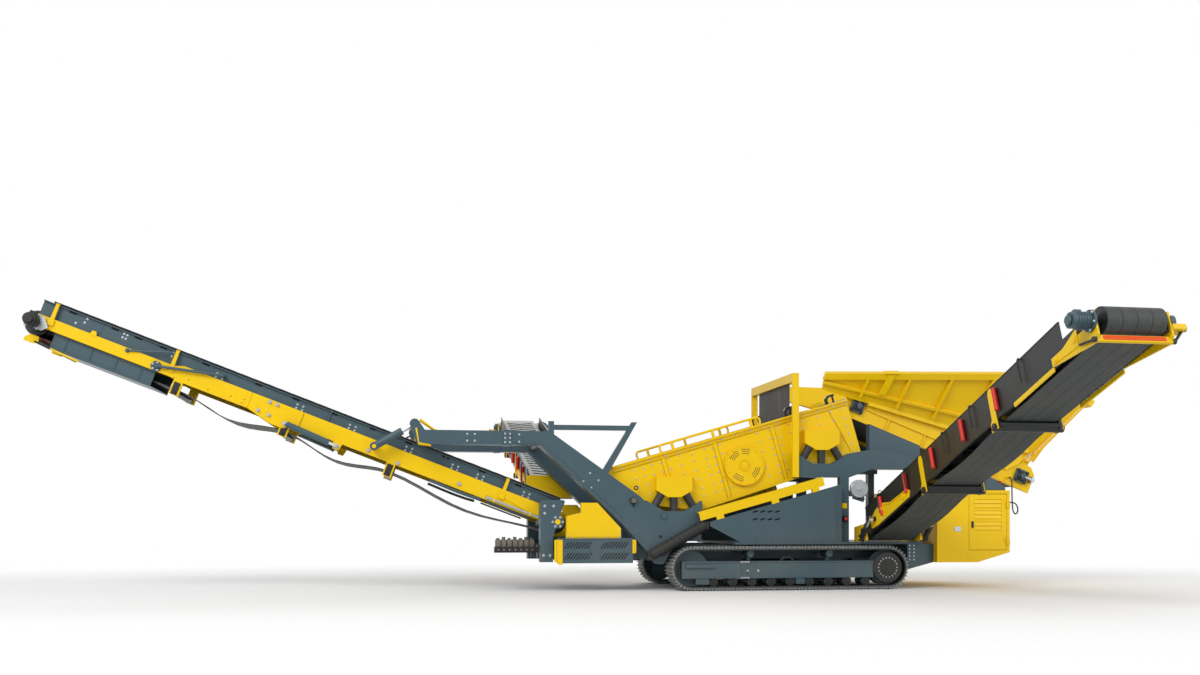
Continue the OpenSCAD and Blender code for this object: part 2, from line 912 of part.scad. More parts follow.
module top_deck() {
  color(black) site()
    deck(deck_start, top_deck_depth);
}

module low_deck() {
  color(black) site()
    deck(low_deck_start, low_deck_depth);
}

back_plate = 24;
tube_runs = [[700, 560], [1300, 200], [1500, 720], [3300, 180], [3500, 600]];

module screen_back() {
  color(yellow) site() on_screen() {
    block(
      [screen_length - back_plate, -screen_inner, mesh_bar - low_deck_depth],
      [screen_length, screen_inner, -top_deck_depth - deck_panel]
    );
    for (tube = tube_runs)
      bar_y(tube[0], -tube[1], cross_tube, -screen_inner, screen_inner);
  }
}

exciter_run = 2371;
exciter_depth = 600;
exciter_tube = 130;
cover_depth = 60;
cover_hub = 60;

module exciter() {
  color(yellow) site() on_screen() {
    bar_y(exciter_run, -exciter_depth, exciter_tube, -screen_inner, screen_inner);
    both() {
      bar_y(exciter_run, -exciter_depth, exciter_radius, -screen_half - cover_depth, -screen_half);
      bar_y(
        exciter_run, -exciter_depth, cover_hub, -screen_half - cover_depth - doubler, -screen_half - cover_depth
      );
    }
  }
}

module buffer_fan_of(centre) {
  for (turn = [-buffer_spread, 0, buffer_spread])
    translate([centre[0], -buffer_y, centre[1]])
      rotate([0, 180 - turn, 0])
        translate([0, 0, buffer_fan + seat_gap])
          cylinder(r = buffer_radius, h = buffer_length - 2 * seat_gap);
}

module buffers() {
  color(black) site() both() {
    buffer_fan_of(front_fan);
    buffer_fan_of(rear_fan);
  }
}

rear_seat = [for (turn = fan_turns) fan_point(rear_fan, seat_radius, turn)];
column_x = [970, 1130];
support_end = 2500;
support_rise = 150;
support_top = 2420;
feeder_leg = 120;

// Underside of the feeder frame over a place behind the track centre
function feeder_under(x) =
  feeder_head_z - (x - feeder_head_x) * feeder_tan - feeder_below / cos(feeder_angle) - seat_gap;

module rear_supports() {
  color(grey) site() both() {
    slab(
      concat(
        rear_seat,
        [
          [support_step, support_top], [support_end, support_top - support_rise],
          [support_end, support_bottom + support_rise], [support_step, support_bottom + support_rise],
          [column_x[1], support_bottom], [support_left, support_bottom],
          [support_left, rear_seat[0][1]]
        ]
      ),
      -girder_outer, -bracket_inner
    );
    block([column_x[0], -girder_outer, deck_top], [column_x[1], -bracket_inner, support_bottom]);
    block(
      [support_end - feeder_leg, -girder_outer, deck_top],
      [support_end, -bracket_inner, support_bottom + support_rise]
    );
    // Plate that carries the feeder frame
    slab(
      [
        [support_step, support_bottom + support_rise], [support_end, support_bottom + support_rise],
        [support_end, feeder_under(support_end)], [support_step, feeder_under(support_step)]
      ],
      -bracket_inner, feeder_plate - feeder_half
    );
  }
}

portal_outer = girder_outer + portal_thick;

module portal() {
  color(yellow) site() {
    both()
      block(
        [portal_x - portal_width / 2, -portal_outer, support_bottom],
        [portal_x + portal_width / 2, -girder_outer, portal_top]
      );
    block(
      [portal_x - portal_width / 2, -girder_outer, portal_top - portal_head],
      [portal_x + portal_width / 2, girder_outer, portal_top]
    );
  }
}

curtain_half = 860;

module curtain() {
  color(black) site()
    block(
      [portal_x - curtain_thick / 2, -curtain_half, portal_top - portal_head - curtain_length],
      [portal_x + curtain_thick / 2, curtain_half, portal_top - portal_head]
    );
}

rail_tube = 22;
rail_height = 130;
rail_runs = [1120, 2780];
rail_post_runs = [1260, 2000, 2700];

module handrails() {
  color(yellow) site() on_screen() both() {
    translate([rail_runs[0], -screen_half, rail_height])
      rotate([0, 90, 0])
        cylinder(r = rail_tube, h = rail_runs[1] - rail_runs[0]);
    for (run = rail_post_runs)
      block(
        [run - rail_tube, -screen_half - rail_tube, 0],
        [run + rail_tube, rail_tube - screen_half, rail_height]
      );
  }
}

brace_tube = 45;
brace_foot = 3150;
brace_top = [2660, 2830];
brace_post = 4065;
brace_bar = [2690, 2770];
brace_y = girder_outer - brace_tube;

// Top edge of the girder leg over a place ahead of the track centre
function leg_top(x) = seat_gap + arm_top - (elbow_x - x) * (arm_top - knee_z) / (elbow_x - knee_x);

module arm_brace() {
  color(grey) site() {
    slab(
      [
        [-brace_foot - brace_tube, leg_top(brace_foot + brace_tube)],
        [brace_tube - brace_foot, leg_top(brace_foot - brace_tube)],
        [brace_tube - brace_top[0], brace_top[1]], [-brace_tube - brace_top[0], brace_top[1]]
      ],
      -brace_y - brace_tube, brace_tube - brace_y
    );
    slab(
      [
        [-brace_post - brace_tube, leg_top(brace_post + brace_tube)],
        [brace_tube - brace_post, leg_top(brace_post - brace_tube)],
        [brace_tube - brace_post, brace_top[1]], [-brace_post - brace_tube, brace_top[1]]
      ],
      -brace_y - brace_tube, brace_tube - brace_y
    );
    block(
      [-brace_post, -brace_y - brace_tube, brace_bar[0]],
      [-brace_top[0] - brace_tube, brace_tube - brace_y, brace_bar[1]]
    );
  }
}

module on_feeder() {
  translate([feeder_head_x, 0, feeder_head_z])
    rotate([0, feeder_angle, 0])
      children();
}

feeder_nose = 240;
feeder_tail = 250;
feeder_corner = 110;
bearing_side = 230;
bearing_depth = 60;
shaft_radius = 45;
feeder_rollers = 6;
feeder_roller = 55;
hose_radius = 12;
gland_radius = 20;
hose_sides = 10;
hose_route = [
  [4040, -1290, 1500], [4100, -1290, 1500], [4150, -1288, 1486], [4190, -1282, 1454], [4216, -1272, 1410],
  [4230, -1254, 1362], [4234, -1226, 1322], [4234, -1190, 1302], [4234, -1150, 1304], [4232, -1114, 1326],
  [4230, -1090, 1366], [4228, -1078, 1420], [4226, -1074, 1480], [4224, -1072, 1550], [4222, -1072, 1620],
  [4220, -1072, 1690], [4220, -1072, 1760], [4220, -1070, 1826], [4220, -1060, 1884], [4220, -1038, 1928],
  [4220, -1006, 1950], [4220, -960, 1950]
];
hose_start = hose_route[0];
hose_end = hose_route[len(hose_route) - 1];
hose_side = [1, -1, 0];

function unit(v) = v / norm(v);

// Ring of points round a place of the hose, square to its run
function hose_ring(place) =
  let(last = len(hose_route) - 1)
  let(run = unit(hose_route[min(place + 1, last)] - hose_route[max(place - 1, 0)]))
  let(across = unit(cross(run, hose_side)))
  let(over = cross(run, across))
  [
    for (side = [0 : hose_sides - 1])
      let(turn = 360 * side / hose_sides)
      hose_route[place] + hose_radius * (cos(turn) * across + sin(turn) * over)
  ];

module rear_hose() {
  rings = len(hose_route);
  corners = [for (place = [0 : rings - 1]) each hose_ring(place)];
  walls = [
    for (place = [0 : rings - 2], side = [0 : hose_sides - 1])
      let(next = (side + 1) % hose_sides)
      let(low = place * hose_sides)
      let(high = low + hose_sides)
      [low + side, high + side, high + next, low + next]
  ];
  caps = [
    [for (side = [0 : hose_sides - 1]) side],
    [for (side = [hose_sides - 1 : -1 : 0]) (rings - 1) * hose_sides + side]
  ];
  color(black) site()
    polyhedron(corners, concat(walls, caps));
}

module feeder_sides() {
  color(yellow) site()
    bar_y(hose_end[0], hose_end[2], gland_radius, hose_end[1], -feeder_half);
  color(yellow) site() on_feeder() both() {
    slab(
      [
        [-feeder_nose, -feeder_below + feeder_corner], [feeder_corner - feeder_nose, -feeder_below],
        [feeder_length + feeder_tail, -feeder_below],
        [feeder_length + feeder_tail, feeder_above - feeder_corner],
        [feeder_length + feeder_tail - feeder_corner, feeder_above],
        [feeder_corner - feeder_nose, feeder_above],
        [-feeder_nose, feeder_above - feeder_corner]
      ],
      -feeder_half, feeder_plate - feeder_half
    );
  }
}

feeder_inner = feeder_half - feeder_plate;

// Closed belt outline round two drums at x = 0 and x = -length, with sag under each return span
belt_steps = 16;
span_steps = 10;
function belt_outline(length, radius, supports, sag) =
  let(step = 180 / belt_steps)
  concat(
    [for (turn = [90 : step : 270]) [-length + radius * cos(turn), radius * sin(turn)]],
    [
      for (span = [len(supports) - 1 : -1 : 1], part = [1 : span_steps - (span == 1 ? 1 : 0)])
        let(share = part / span_steps)
        let(run = supports[span] + share * (supports[span - 1] - supports[span]))
        let(drop = span == len(supports) - 1 ? 0 : sag * (1 - cos(360 * share)) / 2)
        [-run, -radius - drop]
    ],
    [for (turn = [-90 : step : 90]) [radius * cos(turn), radius * sin(turn)]]
  );

module belt(length, radius, half, supports, sag) {
  inner = radius / cos(90 / belt_steps);
  translate([0, half, 0])
    rotate([90, 0, 0])
      linear_extrude(height = 2 * half)
        difference() {
          polygon(belt_outline(length, radius + belt_thick, supports, sag));
          polygon(belt_outline(length, inner, supports, sag));
        }
}

module feeder_belt() {
  color(black) site() on_feeder()
    translate([feeder_length, 0, 0])
      belt(feeder_length, feeder_drum, feeder_belt_half, [0, feeder_length], 0);
}

module feeder_drums() {
  color(grey) site() on_feeder() {
    for (run = [0, feeder_length]) {
      bar_y(run, 0, feeder_drum, -feeder_belt_half, feeder_belt_half);
      bar_y(run, 0, shaft_radius, -feeder_inner, feeder_inner);
      // Square bearing blocks on the outer faces
      both()
        translate([run, -feeder_half - bearing_depth / 2, 0])
          cube([bearing_side, bearing_depth, bearing_side], center = true);
      both()
        bar_y(run, 0, shaft_radius, -feeder_half - 2 * bearing_depth, -feeder_half - bearing_depth);
    }
    for (roller = [1 : feeder_rollers])
      bar_y(
        roller * feeder_length / (feeder_rollers + 1), feeder_drum - feeder_roller, feeder_roller,
        -feeder_inner, feeder_inner
      );
  }
}

rear_tan = tan(rear_lean);
rear_bar = 90;
wing_gap = 25;
wing_overhang = 80;
wing_rise = cos(wing_lean) * cos(wing_slope);

// Height of a hopper wing along its own plane where its top edge is level
function wing_level(run) = (wing_top - wing_front_z + run * sin(wing_slope)) / wing_rise;

wing_turn = cos(wing_slope) + sin(wing_slope) * rear_tan;
wing_end_low = (rear_foot[0] - wing_gap - wing_front + (wing_front_z - rear_foot[1]) * rear_tan) / wing_turn;
wing_end_lean = cos(wing_lean) * (cos(wing_slope) * rear_tan - sin(wing_slope)) / wing_turn;

wing_rear_height = 1130;
wing_top_run = wing_top_length * cos(wing_slope) - wing_overhang;
wing_outline = [
  [0, 0], [wing_end_low, 0], [wing_end_low + wing_end_lean * wing_rear_height, wing_rear_height],
  [wing_top_run, wing_level(wing_top_run)], [-wing_overhang, wing_level(-wing_overhang)]
];
wing_rib_runs = [650, 1350, 2050, 2750];
wing_rib = 40;
wing_rail_front = 880;
wing_rim = 120;

module hopper_wings() {
  color(yellow) site() both()
    translate([wing_front, -rail_y, wing_front_z])
      rotate([0, wing_slope, 0]) {
        block(
          [wing_rail_front, -wing_rail / 2, -wing_rail / 2],
          [wing_end_low - wing_rail, wing_rail / 2, wing_rail / 2]
        );
        rotate([wing_lean, 0, 0]) {
          slab(wing_outline, -hopper_plate, 0);
          for (run = wing_rib_runs)
            block(
              [run, -hopper_plate - hopper_rib, wing_rail],
              [run + wing_rib, -hopper_plate, wing_level(run) - wing_rim / 2]
            );
          // Rim along the level top edge
          slab(
            [
              [-wing_overhang, wing_level(-wing_overhang) - wing_rim],
              [wing_top_run, wing_level(wing_top_run) - wing_rim],
              [wing_top_run, wing_level(wing_top_run)], [-wing_overhang, wing_level(-wing_overhang)]
            ],
            -hopper_plate - hopper_rib, -hopper_plate
          );
        }
      }
}

skirt_inset = 172;
skirt_front = feeder_head_x + skirt_inset;

// Lower edge of the hopper wing over a place behind the track centre
function wing_line(x) = wing_front_z - (x - wing_front) * tan(wing_slope);
function feeder_line(x) = feeder_head_z - (x - feeder_head_x) * feeder_tan;

wing_tan = tan(wing_slope);
skirt_lap = wing_rail / 3;
skirt_head = wing_front_z + skirt_lap + wing_front * wing_tan - rear_foot[1];
skirt_end = (rear_foot[0] - wing_gap + skirt_head * rear_tan)
  / (1 + wing_tan * rear_tan);
skirt_rear = rear_foot[0] - wing_gap - rear_bar;

module hopper_skirts() {
  color(yellow) site() both()
    slab(
      [
        [skirt_front, feeder_line(skirt_front)],
        [skirt_rear - bearing_side, feeder_line(skirt_rear - bearing_side)],
        [skirt_rear, rear_foot[1]], [skirt_end, wing_line(skirt_end) + skirt_lap],
        [skirt_front, wing_line(skirt_front) + skirt_lap]
      ],
      -skirt_outer, -feeder_half
    );
}

rear_half_low = 1010;
rear_half_high = 1640;
rear_ribs = 5;

module rear_wall() {
  color(yellow) site() {
    on_feeder()
      block(
        [rear_run - rear_bar / 2, -feeder_half, feeder_above],
        [rear_run + rear_bar, feeder_half, feeder_above + rear_bar]
      );
    translate([rear_foot[0], 0, rear_foot[1]])
      rotate([0, rear_lean, 0])
        rotate([0, 0, 90]) {
          slab(
            [
              [-rear_half_low, rear_bar / 2], [rear_half_low, rear_bar / 2],
              [rear_half_high, rear_wall], [-rear_half_high, rear_wall]
            ],
            -hopper_plate, 0
          );
          for (rib = [0 : rear_ribs - 1])
            translate([(rib - (rear_ribs - 1) / 2) * 2 * (rear_half_low - wing_rib) / (rear_ribs - 1), 0, 0])
              block(
                [-wing_rib / 2, -hopper_plate - hopper_rib, wing_rim],
                [wing_rib / 2, -hopper_plate, rear_wall]
              );
          slab(
            [
              [-rear_half_high, rear_wall - wing_rim], [rear_half_high, rear_wall - wing_rim],
              [rear_half_high, rear_wall], [-rear_half_high, rear_wall]
            ],
            -hopper_plate - hopper_rib, -hopper_plate
          );
        }
  }
}

cabinet_toe = 760;
cabinet_toe_rise = 170;
door_edge = 60;
door_sill = 45;
door_head = 70;
door_rear = cabinet_rear - door_edge;
door_front = door_rear - door_length;
door_bottom = cabinet_bottom + cabinet_toe_rise + door_sill;
door_top = cabinet_top - door_head;
door_thick = 30;
hinge_radius = 18;
hinge_pin = 8;
hinge_leaf = 60;
hinge_leaf_thick = 8;
hinge_length = 70;
hinge_x = door_rear + door_gap / 2;
hinge_y = -cabinet_half - hinge_radius - lug_gap;
hinge_inset = 90;
hinge_levels = [door_bottom + hinge_inset, door_top - hinge_inset - 2 * hinge_length];

module cabinet_form(wall) {
  slab(
    [
      [cabinet_front + wall, cabinet_bottom + wall], [cabinet_front + cabinet_toe, cabinet_bottom + wall],
      [cabinet_rear - wall, cabinet_bottom + cabinet_toe_rise + wall],
      [cabinet_rear - wall, cabinet_top - wall],
      [cabinet_front + wall, cabinet_top - wall]
    ],
    wall - cabinet_half, cabinet_half - wall
  );
}

// One hinge knuckle with its leaf to one side of the pin
module knuckle(level, side) {
  translate([hinge_x, hinge_y, level])
    cylinder(r = hinge_radius, h = hinge_length);
  block(
    [hinge_x + min(0, side) * hinge_leaf, -cabinet_half - hinge_leaf_thick, level],
    [hinge_x + max(0, side) * hinge_leaf, -cabinet_half, level + hinge_length]
  );
}

module cabinet() {
  color(yellow) site() {
    difference() {
      cabinet_form(0);
      cabinet_form(cabinet_wall);
      block(
        [door_front - door_gap, -cabinet_half - 1, door_bottom - door_gap],
        [door_rear + door_gap, cabinet_wall + 1 - cabinet_half, door_top + door_gap]
      );
    }
    translate([cabinet_rear, hose_start[1], hose_start[2]])
      rotate([0, 90, 0])
        cylinder(r = gland_radius, h = hose_start[0] - cabinet_rear);
    for (level = hinge_levels) {
      knuckle(level, 1);
      translate([hinge_x, hinge_y, level])
        cylinder(r = hinge_pin, h = 2 * hinge_length);
    }
  }
}

louvre_height = 150;
louvre_step = 195;
louvre_inset = 90;
louvre_depth = 14;

module cabinet_door() {
  color(yellow) site()
    difference() {
      union() {
        block([door_front, -cabinet_half, door_bottom], [door_rear, door_thick - cabinet_half, door_top]);
        for (level = hinge_levels)
          knuckle(level + hinge_length + lug_gap, -1);
      }
      for (level = hinge_levels)
        translate([hinge_x, hinge_y, level])
          cylinder(r = hinge_pin + lug_gap, h = 3 * hinge_length);
      for (louvre = [0 : louvre_count - 1])
        translate([0, -cabinet_half, door_top - louvre_inset - louvre * louvre_step])
          slab(
            [
              [door_front + louvre_inset, -louvre_height], [door_rear - louvre_inset, -louvre_height],
              [door_rear - louvre_inset, 0], [door_front + louvre_inset, 0]
            ],
            -1, louvre_depth
          );
    }
}

module on_front() {
  translate([-fc_tail_x, 0, fc_tail_z])
    rotate([0, fc_angle, 0])
      children();
}

fc_return = [0, 2900, 4700, 6500, fc_length];
fc_idlers = 9;
idler_radius = 50;
return_radius = 48;
roller_gap = 1;
return_drop = fc_drum + belt_thick + return_radius + roller_gap;
hanger_half = 75;
fc_tail_over = 130;
fc_head_over = 120;
fc_head_top = 140;
fc_head_bottom = 45;
fc_slope_run = 160;
fold_plate = 18;
fold_run = 420;
fold_drop = 175;
lug_radius = 60;
lug_start = 930;

module front_beams() {
  color(yellow) site() on_front() both() {
    slab(
      [
        [fc_tail_over, -fc_beam_bottom], [fc_tail_over, fc_beam_top],
        [fc_head_length - fc_length, fc_beam_top],
        [fc_head_length - fc_length - fc_slope_run, fc_head_top],
        [-fc_length - fc_head_over, fc_head_top], [-fc_length - fc_head_over, -fc_head_bottom],
        [fc_head_length - fc_length - fc_slope_run, -fc_head_bottom],
        [fc_head_length - fc_length, -fc_beam_bottom]
      ],
      -fc_half, -fc_inner
    );
    // Hangers of the return rollers
    for (support = [1 : len(fc_return) - 2])
      block(
        [-fc_return[support] - hanger_half, -fc_half, -return_drop - return_radius],
        [hanger_half - fc_return[support], -fc_inner, 0]
      );
    // Plates of the folding joint
    slab(
      [
        [fold_run - fc_fold, fc_beam_top], [-fold_run - fc_fold, fc_beam_top],
        [-fold_run - fc_fold, -fc_beam_bottom], [-fc_fold, -fold_drop], [fold_run / 2 - fc_fold, -fold_drop],
        [fold_run - fc_fold, -fc_beam_bottom]
      ],
      -fc_half - fold_plate, -fc_half
    );
    // Stub shafts in the front posts
    bar_y(0, 0, shaft_radius, -post_outer, -fc_half);
    // Lugs with the pins of the lift cylinders
    bar_y(-lift_lug_run, lift_lug_rise, lug_radius, -lug_start, -fc_half);
    bar_y(-lift_lug_run, lift_lug_rise, lift_pin_radius, -lift_pin_y - lift_barrel, -lug_start);
  }
}

fc_skirt_bottom = 100;
skirt_lip = 40;

module front_skirts() {
  color(grey) site() on_front() both() {
    block([-fc_length, -fc_inner, fc_skirt_bottom], [skirt_lip, skirt_thick - fc_inner, fc_skirt_top]);
    block(
      [-fc_length, -fc_inner - skirt_lip, fc_skirt_top - skirt_thick],
      [skirt_lip, -fc_inner, fc_skirt_top]
    );
  }
}

module front_belt() {
  color(black) site() on_front()
    belt(fc_length, fc_drum, fc_belt_half, fc_return, fc_sag);
}

module front_drums() {
  color(black) site() on_front() {
    for (run = [0, fc_length]) {
      bar_y(-run, 0, fc_drum, -fc_belt_half, fc_belt_half);
      bar_y(-run, 0, shaft_radius, -fc_inner, fc_inner);
    }
    for (idler = [1 : fc_idlers])
      bar_y(
        -idler * fc_length / (fc_idlers + 1), fc_drum - idler_radius, idler_radius,
        skirt_thick - fc_inner, fc_inner - skirt_thick
      );
    for (support = [1 : len(fc_return) - 2])
      bar_y(-fc_return[support], -return_drop, return_radius, -fc_inner, fc_inner);
  }
}

guard_head = 330;
guard_tail = 1950;
guard_bottom = 290;

module front_guard() {
  color(grey) site() on_front() {
    both()
      block(
        [guard_head - fc_length, -fc_inner, -guard_bottom],
        [guard_tail - fc_length, skirt_thick - fc_inner, 0]
      );
    block(
      [guard_head - fc_length, -fc_inner, -guard_bottom - skirt_thick],
      [guard_tail - fc_length, fc_inner, -guard_bottom]
    );
  }
}

motor_radius = 95;
motor_length = 240;
motor_flange = 130;
motor_plate = 30;

// Bearing blocks of the head shaft, with the drive motor on the near side
module front_motor() {
  color(black) site() on_front() {
    both()
      translate([-fc_length, -fc_half - bearing_depth / 2, 0])
        cube([bearing_side, bearing_depth, bearing_side], center = true);
    bar_y(-fc_length, 0, motor_radius, -fc_half - bearing_depth - motor_length, -fc_half - bearing_depth);
  }
}

barrel_start = 50;
barrel_floor = 90;
barrel_cap = 1.1;

// Barrel along +x from a pin at its origin, open at its far end
module barrel(length, radius, rod, pin, half) {
  difference() {
    union() {
      bar_y(0, 0, radius * barrel_cap, -half, half);
      translate([barrel_start / 2, 0, 0])
        rotate([0, 90, 0])
          cylinder(r = radius, h = length - barrel_start / 2);
    }
    bar_y(0, 0, pin + lug_gap, -2 * radius, 2 * radius);
    translate([barrel_floor + pin, 0, 0])
      rotate([0, 90, 0])
        cylinder(r = rod + rod_gap, h = length);
  }
}

// Rod along -x from an eye at its origin
module rod(length, radius, pin, eye, half) {
  difference() {
    union() {
      bar_y(0, 0, eye, -half, half);
      translate([-length, 0, 0])
        rotate([0, 90, 0])
          cylinder(r = radius, h = length);
    }
    bar_y(0, 0, pin, -half - 1, half + 1);
  }
}

eye_half = 55;
lift_eye = 68;

module lift_barrels() {
  color(grey) site() both()
    translate([lift_foot[0], -lift_pin_y, lift_foot[1]])
      rotate([0, -lift_slope, 0])
        barrel(lift_barrel_length, lift_barrel, lift_rod_radius, lift_pin_radius, eye_half);
}

module lift_rods() {
  color(steel) site() both()
    translate([lift_top[0], -lift_pin_y, lift_top[1]])
      rotate([0, -lift_slope, 0])
        rod(lift_rod_length, lift_rod_radius, lift_pin_radius + pin_gap, lift_eye, eye_half);
}

// Side conveyors, built along -x from their tail shaft and turned to their side
module on_near() {
  translate([near_x, -near_tail_y, near_tail_z])
    rotate([0, 0, 90])
      children();
}

module on_far() {
  translate([-far_x, far_tail_y, far_tail_z])
    rotate([0, 0, -90])
      children();
}

module near_side() {
  site() on_near() rotate([0, near_angle, 0])
    children();
}

module far_side() {
  site() on_far() rotate([0, far_angle, 0])
    children();
}

sc_tail_over = 180;
sc_head_over = 40;
stub_radius = 40;
sc_skirt_rear = 150;
sc_skirt_head = 650;
sc_return_shares = [0.34, 0.66];
sc_return_drop = sc_drum + belt_thick + return_radius + roller_gap;
function sc_return(length) = [0, sc_return_shares[0] * length, sc_return_shares[1] * length, length];

module side_frame(length) {
  both() {
    block([-length - sc_head_over, -sc_half, -sc_rail_bottom], [sc_tail_over, -sc_inner, sc_rail_top]);
    block(
      [sc_skirt_head - length, -sc_half, sc_rail_top],
      [-sc_skirt_rear, skirt_thick - sc_half, sc_skirt_top]
    );
    for (share = sc_return_shares)
      block(
        [-share * length - hanger_half, -sc_half, -sc_return_drop - return_radius],
        [hanger_half - share * length, -sc_inner, -sc_rail_bottom]
      );
    bar_y(0, 0, stub_radius, -arm_outer, -sc_half);
    bar_y(-sc_lug_run, 0, stub_radius, -arm_outer, -sc_half);
    bar_y(-sc_lug_run, 0, sc_pin, -sc_pin_end, -arm_outer);
  }
}

module side_drums(length) {
  for (run = [0, length]) {
    bar_y(-run, 0, sc_drum, -sc_belt_half, sc_belt_half);
    bar_y(-run, 0, stub_radius, -sc_inner, sc_inner);
  }
  for (idler = [1 : fc_idlers - 1])
    bar_y(-idler * length / fc_idlers, sc_drum - idler_radius, idler_radius, -sc_inner, sc_inner);
  for (share = sc_return_shares)
    bar_y(-share * length, -sc_return_drop, return_radius, -sc_inner, sc_inner);
}

strut_radius = 32;
strut_shares = [0.12, 0.26, 0.4, 0.54, 0.68];
strut_bottom = 40;

module side_struts(length) {
  for (share = strut_shares)
    both()
      translate([-share * length, -sc_half - strut_radius, -strut_bottom])
        cylinder(r = strut_radius, h = sc_skirt_top - strut_radius);
}

head_plate = 24;
head_run = 900;
head_drop = 210;
head_step = 20;
head_boss = 130;
scraper_height = 70;

module side_head(length) {
  both()
    slab(
      [
        [head_run - length, -head_step], [head_run - length, -sc_rail_bottom],
        [-length, -head_drop - scraper_height], [-length - sc_drum / 2, -head_drop],
        [-length - sc_drum / 2, sc_rail_top], [head_boss - length, sc_rail_top],
        [head_boss - length, -head_step]
      ],
      -sc_half - head_plate, -sc_half
    );
  // Scraper bar under the head drum
  block(
    [-length - scraper_height / 2, -sc_half, -head_drop - scraper_height],
    [-length, sc_half, -head_drop + belt_thick]
  );
}

// Drive motor of the head drum, with a bearing on the other side
module side_motor(length) {
  start = sc_half + head_plate;
  bar_y(-length, 0, motor_flange, start, start + motor_plate);
  bar_y(-length, 0, motor_radius, start + motor_plate, start + motor_plate + motor_length);
  bar_y(-length, 0, motor_radius, -start - bearing_depth, -start);
}

arm_foot = [60, 330];
arm_boss = 95;
base_lug = [130, 135];

module side_base(deck, reach) {
  both()
    difference() {
      union() {
        slab(
          [
            [reach, deck], [arm_foot[0], deck], [-base_lug[0] - arm_boss / 2, -base_lug[1] - arm_boss / 3],
            [-base_lug[0] - arm_boss / 2, -base_lug[1] + arm_boss / 3], [-arm_boss, 0],
            [0, arm_boss], [reach, arm_boss / 2]
          ],
          -arm_outer, -arm_inner
        );
        bar_y(0, 0, arm_boss, -arm_outer, -arm_inner);
        bar_y(-base_lug[0], -base_lug[1], sc_pin, -sc_pin_end, -arm_inner);
      }
      bar_y(0, 0, stub_radius + lug_gap, -arm_outer - 1, 1 - arm_inner);
    }
}

sc_barrel_length = 300;
sc_rod_length = 300;
sc_eye = 46;
sc_eye_half = 36;

function side_lug(angle) = sc_lug_run * [-cos(angle), sin(angle)];
function side_run(angle) = side_lug(angle) - [-base_lug[0], -base_lug[1]];

module side_barrels(angle) {
  run = side_run(angle);
  both()
    translate([-base_lug[0], -sc_cylinder_y, -base_lug[1]])
      rotate([0, -atan2(run[1], run[0]), 0])
        barrel(sc_barrel_length, sc_barrel, sc_rod, sc_pin, sc_eye_half);
}

module side_rods(angle) {
  run = side_run(angle);
  lug = side_lug(angle);
  both()
    translate([lug[0], -sc_cylinder_y, lug[1]])
      rotate([0, -atan2(run[1], run[0]), 0])
        rod(sc_rod_length, sc_rod, sc_pin + pin_gap, sc_eye, sc_eye_half);
}

module near_base() {
  color(yellow) site() on_near() side_base(deck_top - near_tail_z, arm_foot[1]);
}

module near_frame() {
  color(black) near_side() side_frame(near_length);
}

module near_belt() {
  color(black) near_side() belt(near_length, sc_drum, sc_belt_half, sc_return(near_length), sc_sag);
}

module near_drums() {
  color(black) near_side() side_drums(near_length);
}

module near_struts() {
  color(red) near_side() side_struts(near_length);
}

module near_head() {
  color(yellow) near_side() side_head(near_length);
}

module near_motor() {
  color(grey) near_side() side_motor(near_length);
}

module near_barrels() {
  color(black) site() on_near() side_barrels(near_angle);
}

module near_rods() {
  color(steel) site() on_near() side_rods(near_angle);
}

far_plate = 30;
far_plate_z = [-150, 260];
far_seat = far_tail_y - girder_outer;

module far_base() {
  color(yellow) site() on_far() {
    side_base(-arm_foot[0], far_seat - far_plate);
    block([far_seat - far_plate, -arm_outer, far_plate_z[0]], [far_seat, arm_outer, far_plate_z[1]]);
  }
}

module far_frame() {
  color(black) far_side() side_frame(far_length);
}

module far_belt() {
  color(black) far_side() belt(far_length, sc_drum, sc_belt_half, sc_return(far_length), sc_sag);
}

module far_drums() {
  color(black) far_side() side_drums(far_length);
}

module far_struts() {
  color(red) far_side() side_struts(far_length);
}

module far_head() {
  color(yellow) far_side() side_head(far_length);
}

module far_motor() {
  color(grey) far_side() side_motor(far_length);
}

module far_barrels() {
  color(black) site() on_far() side_barrels(far_angle);
}

module far_rods() {
  color(steel) site() on_far() side_rods(far_angle);
}

tracks();
track_frames();
chassis();
cross_ties();
deck_plate();
tail_plates();
side_panels();
guard_beams();
girders();
gantry_tie();
slot_boxes();
hoods();
front_posts();
screen_sides();
top_deck();
low_deck();
screen_back();
exciter();
buffers();
rear_supports();
portal();
curtain();
handrails();
arm_brace();
feeder_sides();
feeder_belt();
feeder_drums();
hopper_wings();
hopper_skirts();
rear_wall();
cabinet();
cabinet_door();
rear_hose();
front_beams();
front_skirts();
front_belt();
front_drums();
front_guard();
front_motor();
lift_barrels();
lift_rods();
near_base();
near_frame();
near_belt();
near_drums();
near_struts();
near_head();
near_motor();
near_barrels();
near_rods();
far_base();
far_frame();
far_belt();
far_drums();
far_struts();
far_head();
far_motor();
far_barrels();
far_rods();
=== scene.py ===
import bpy
import math
import random
from mathutils import Matrix, Vector


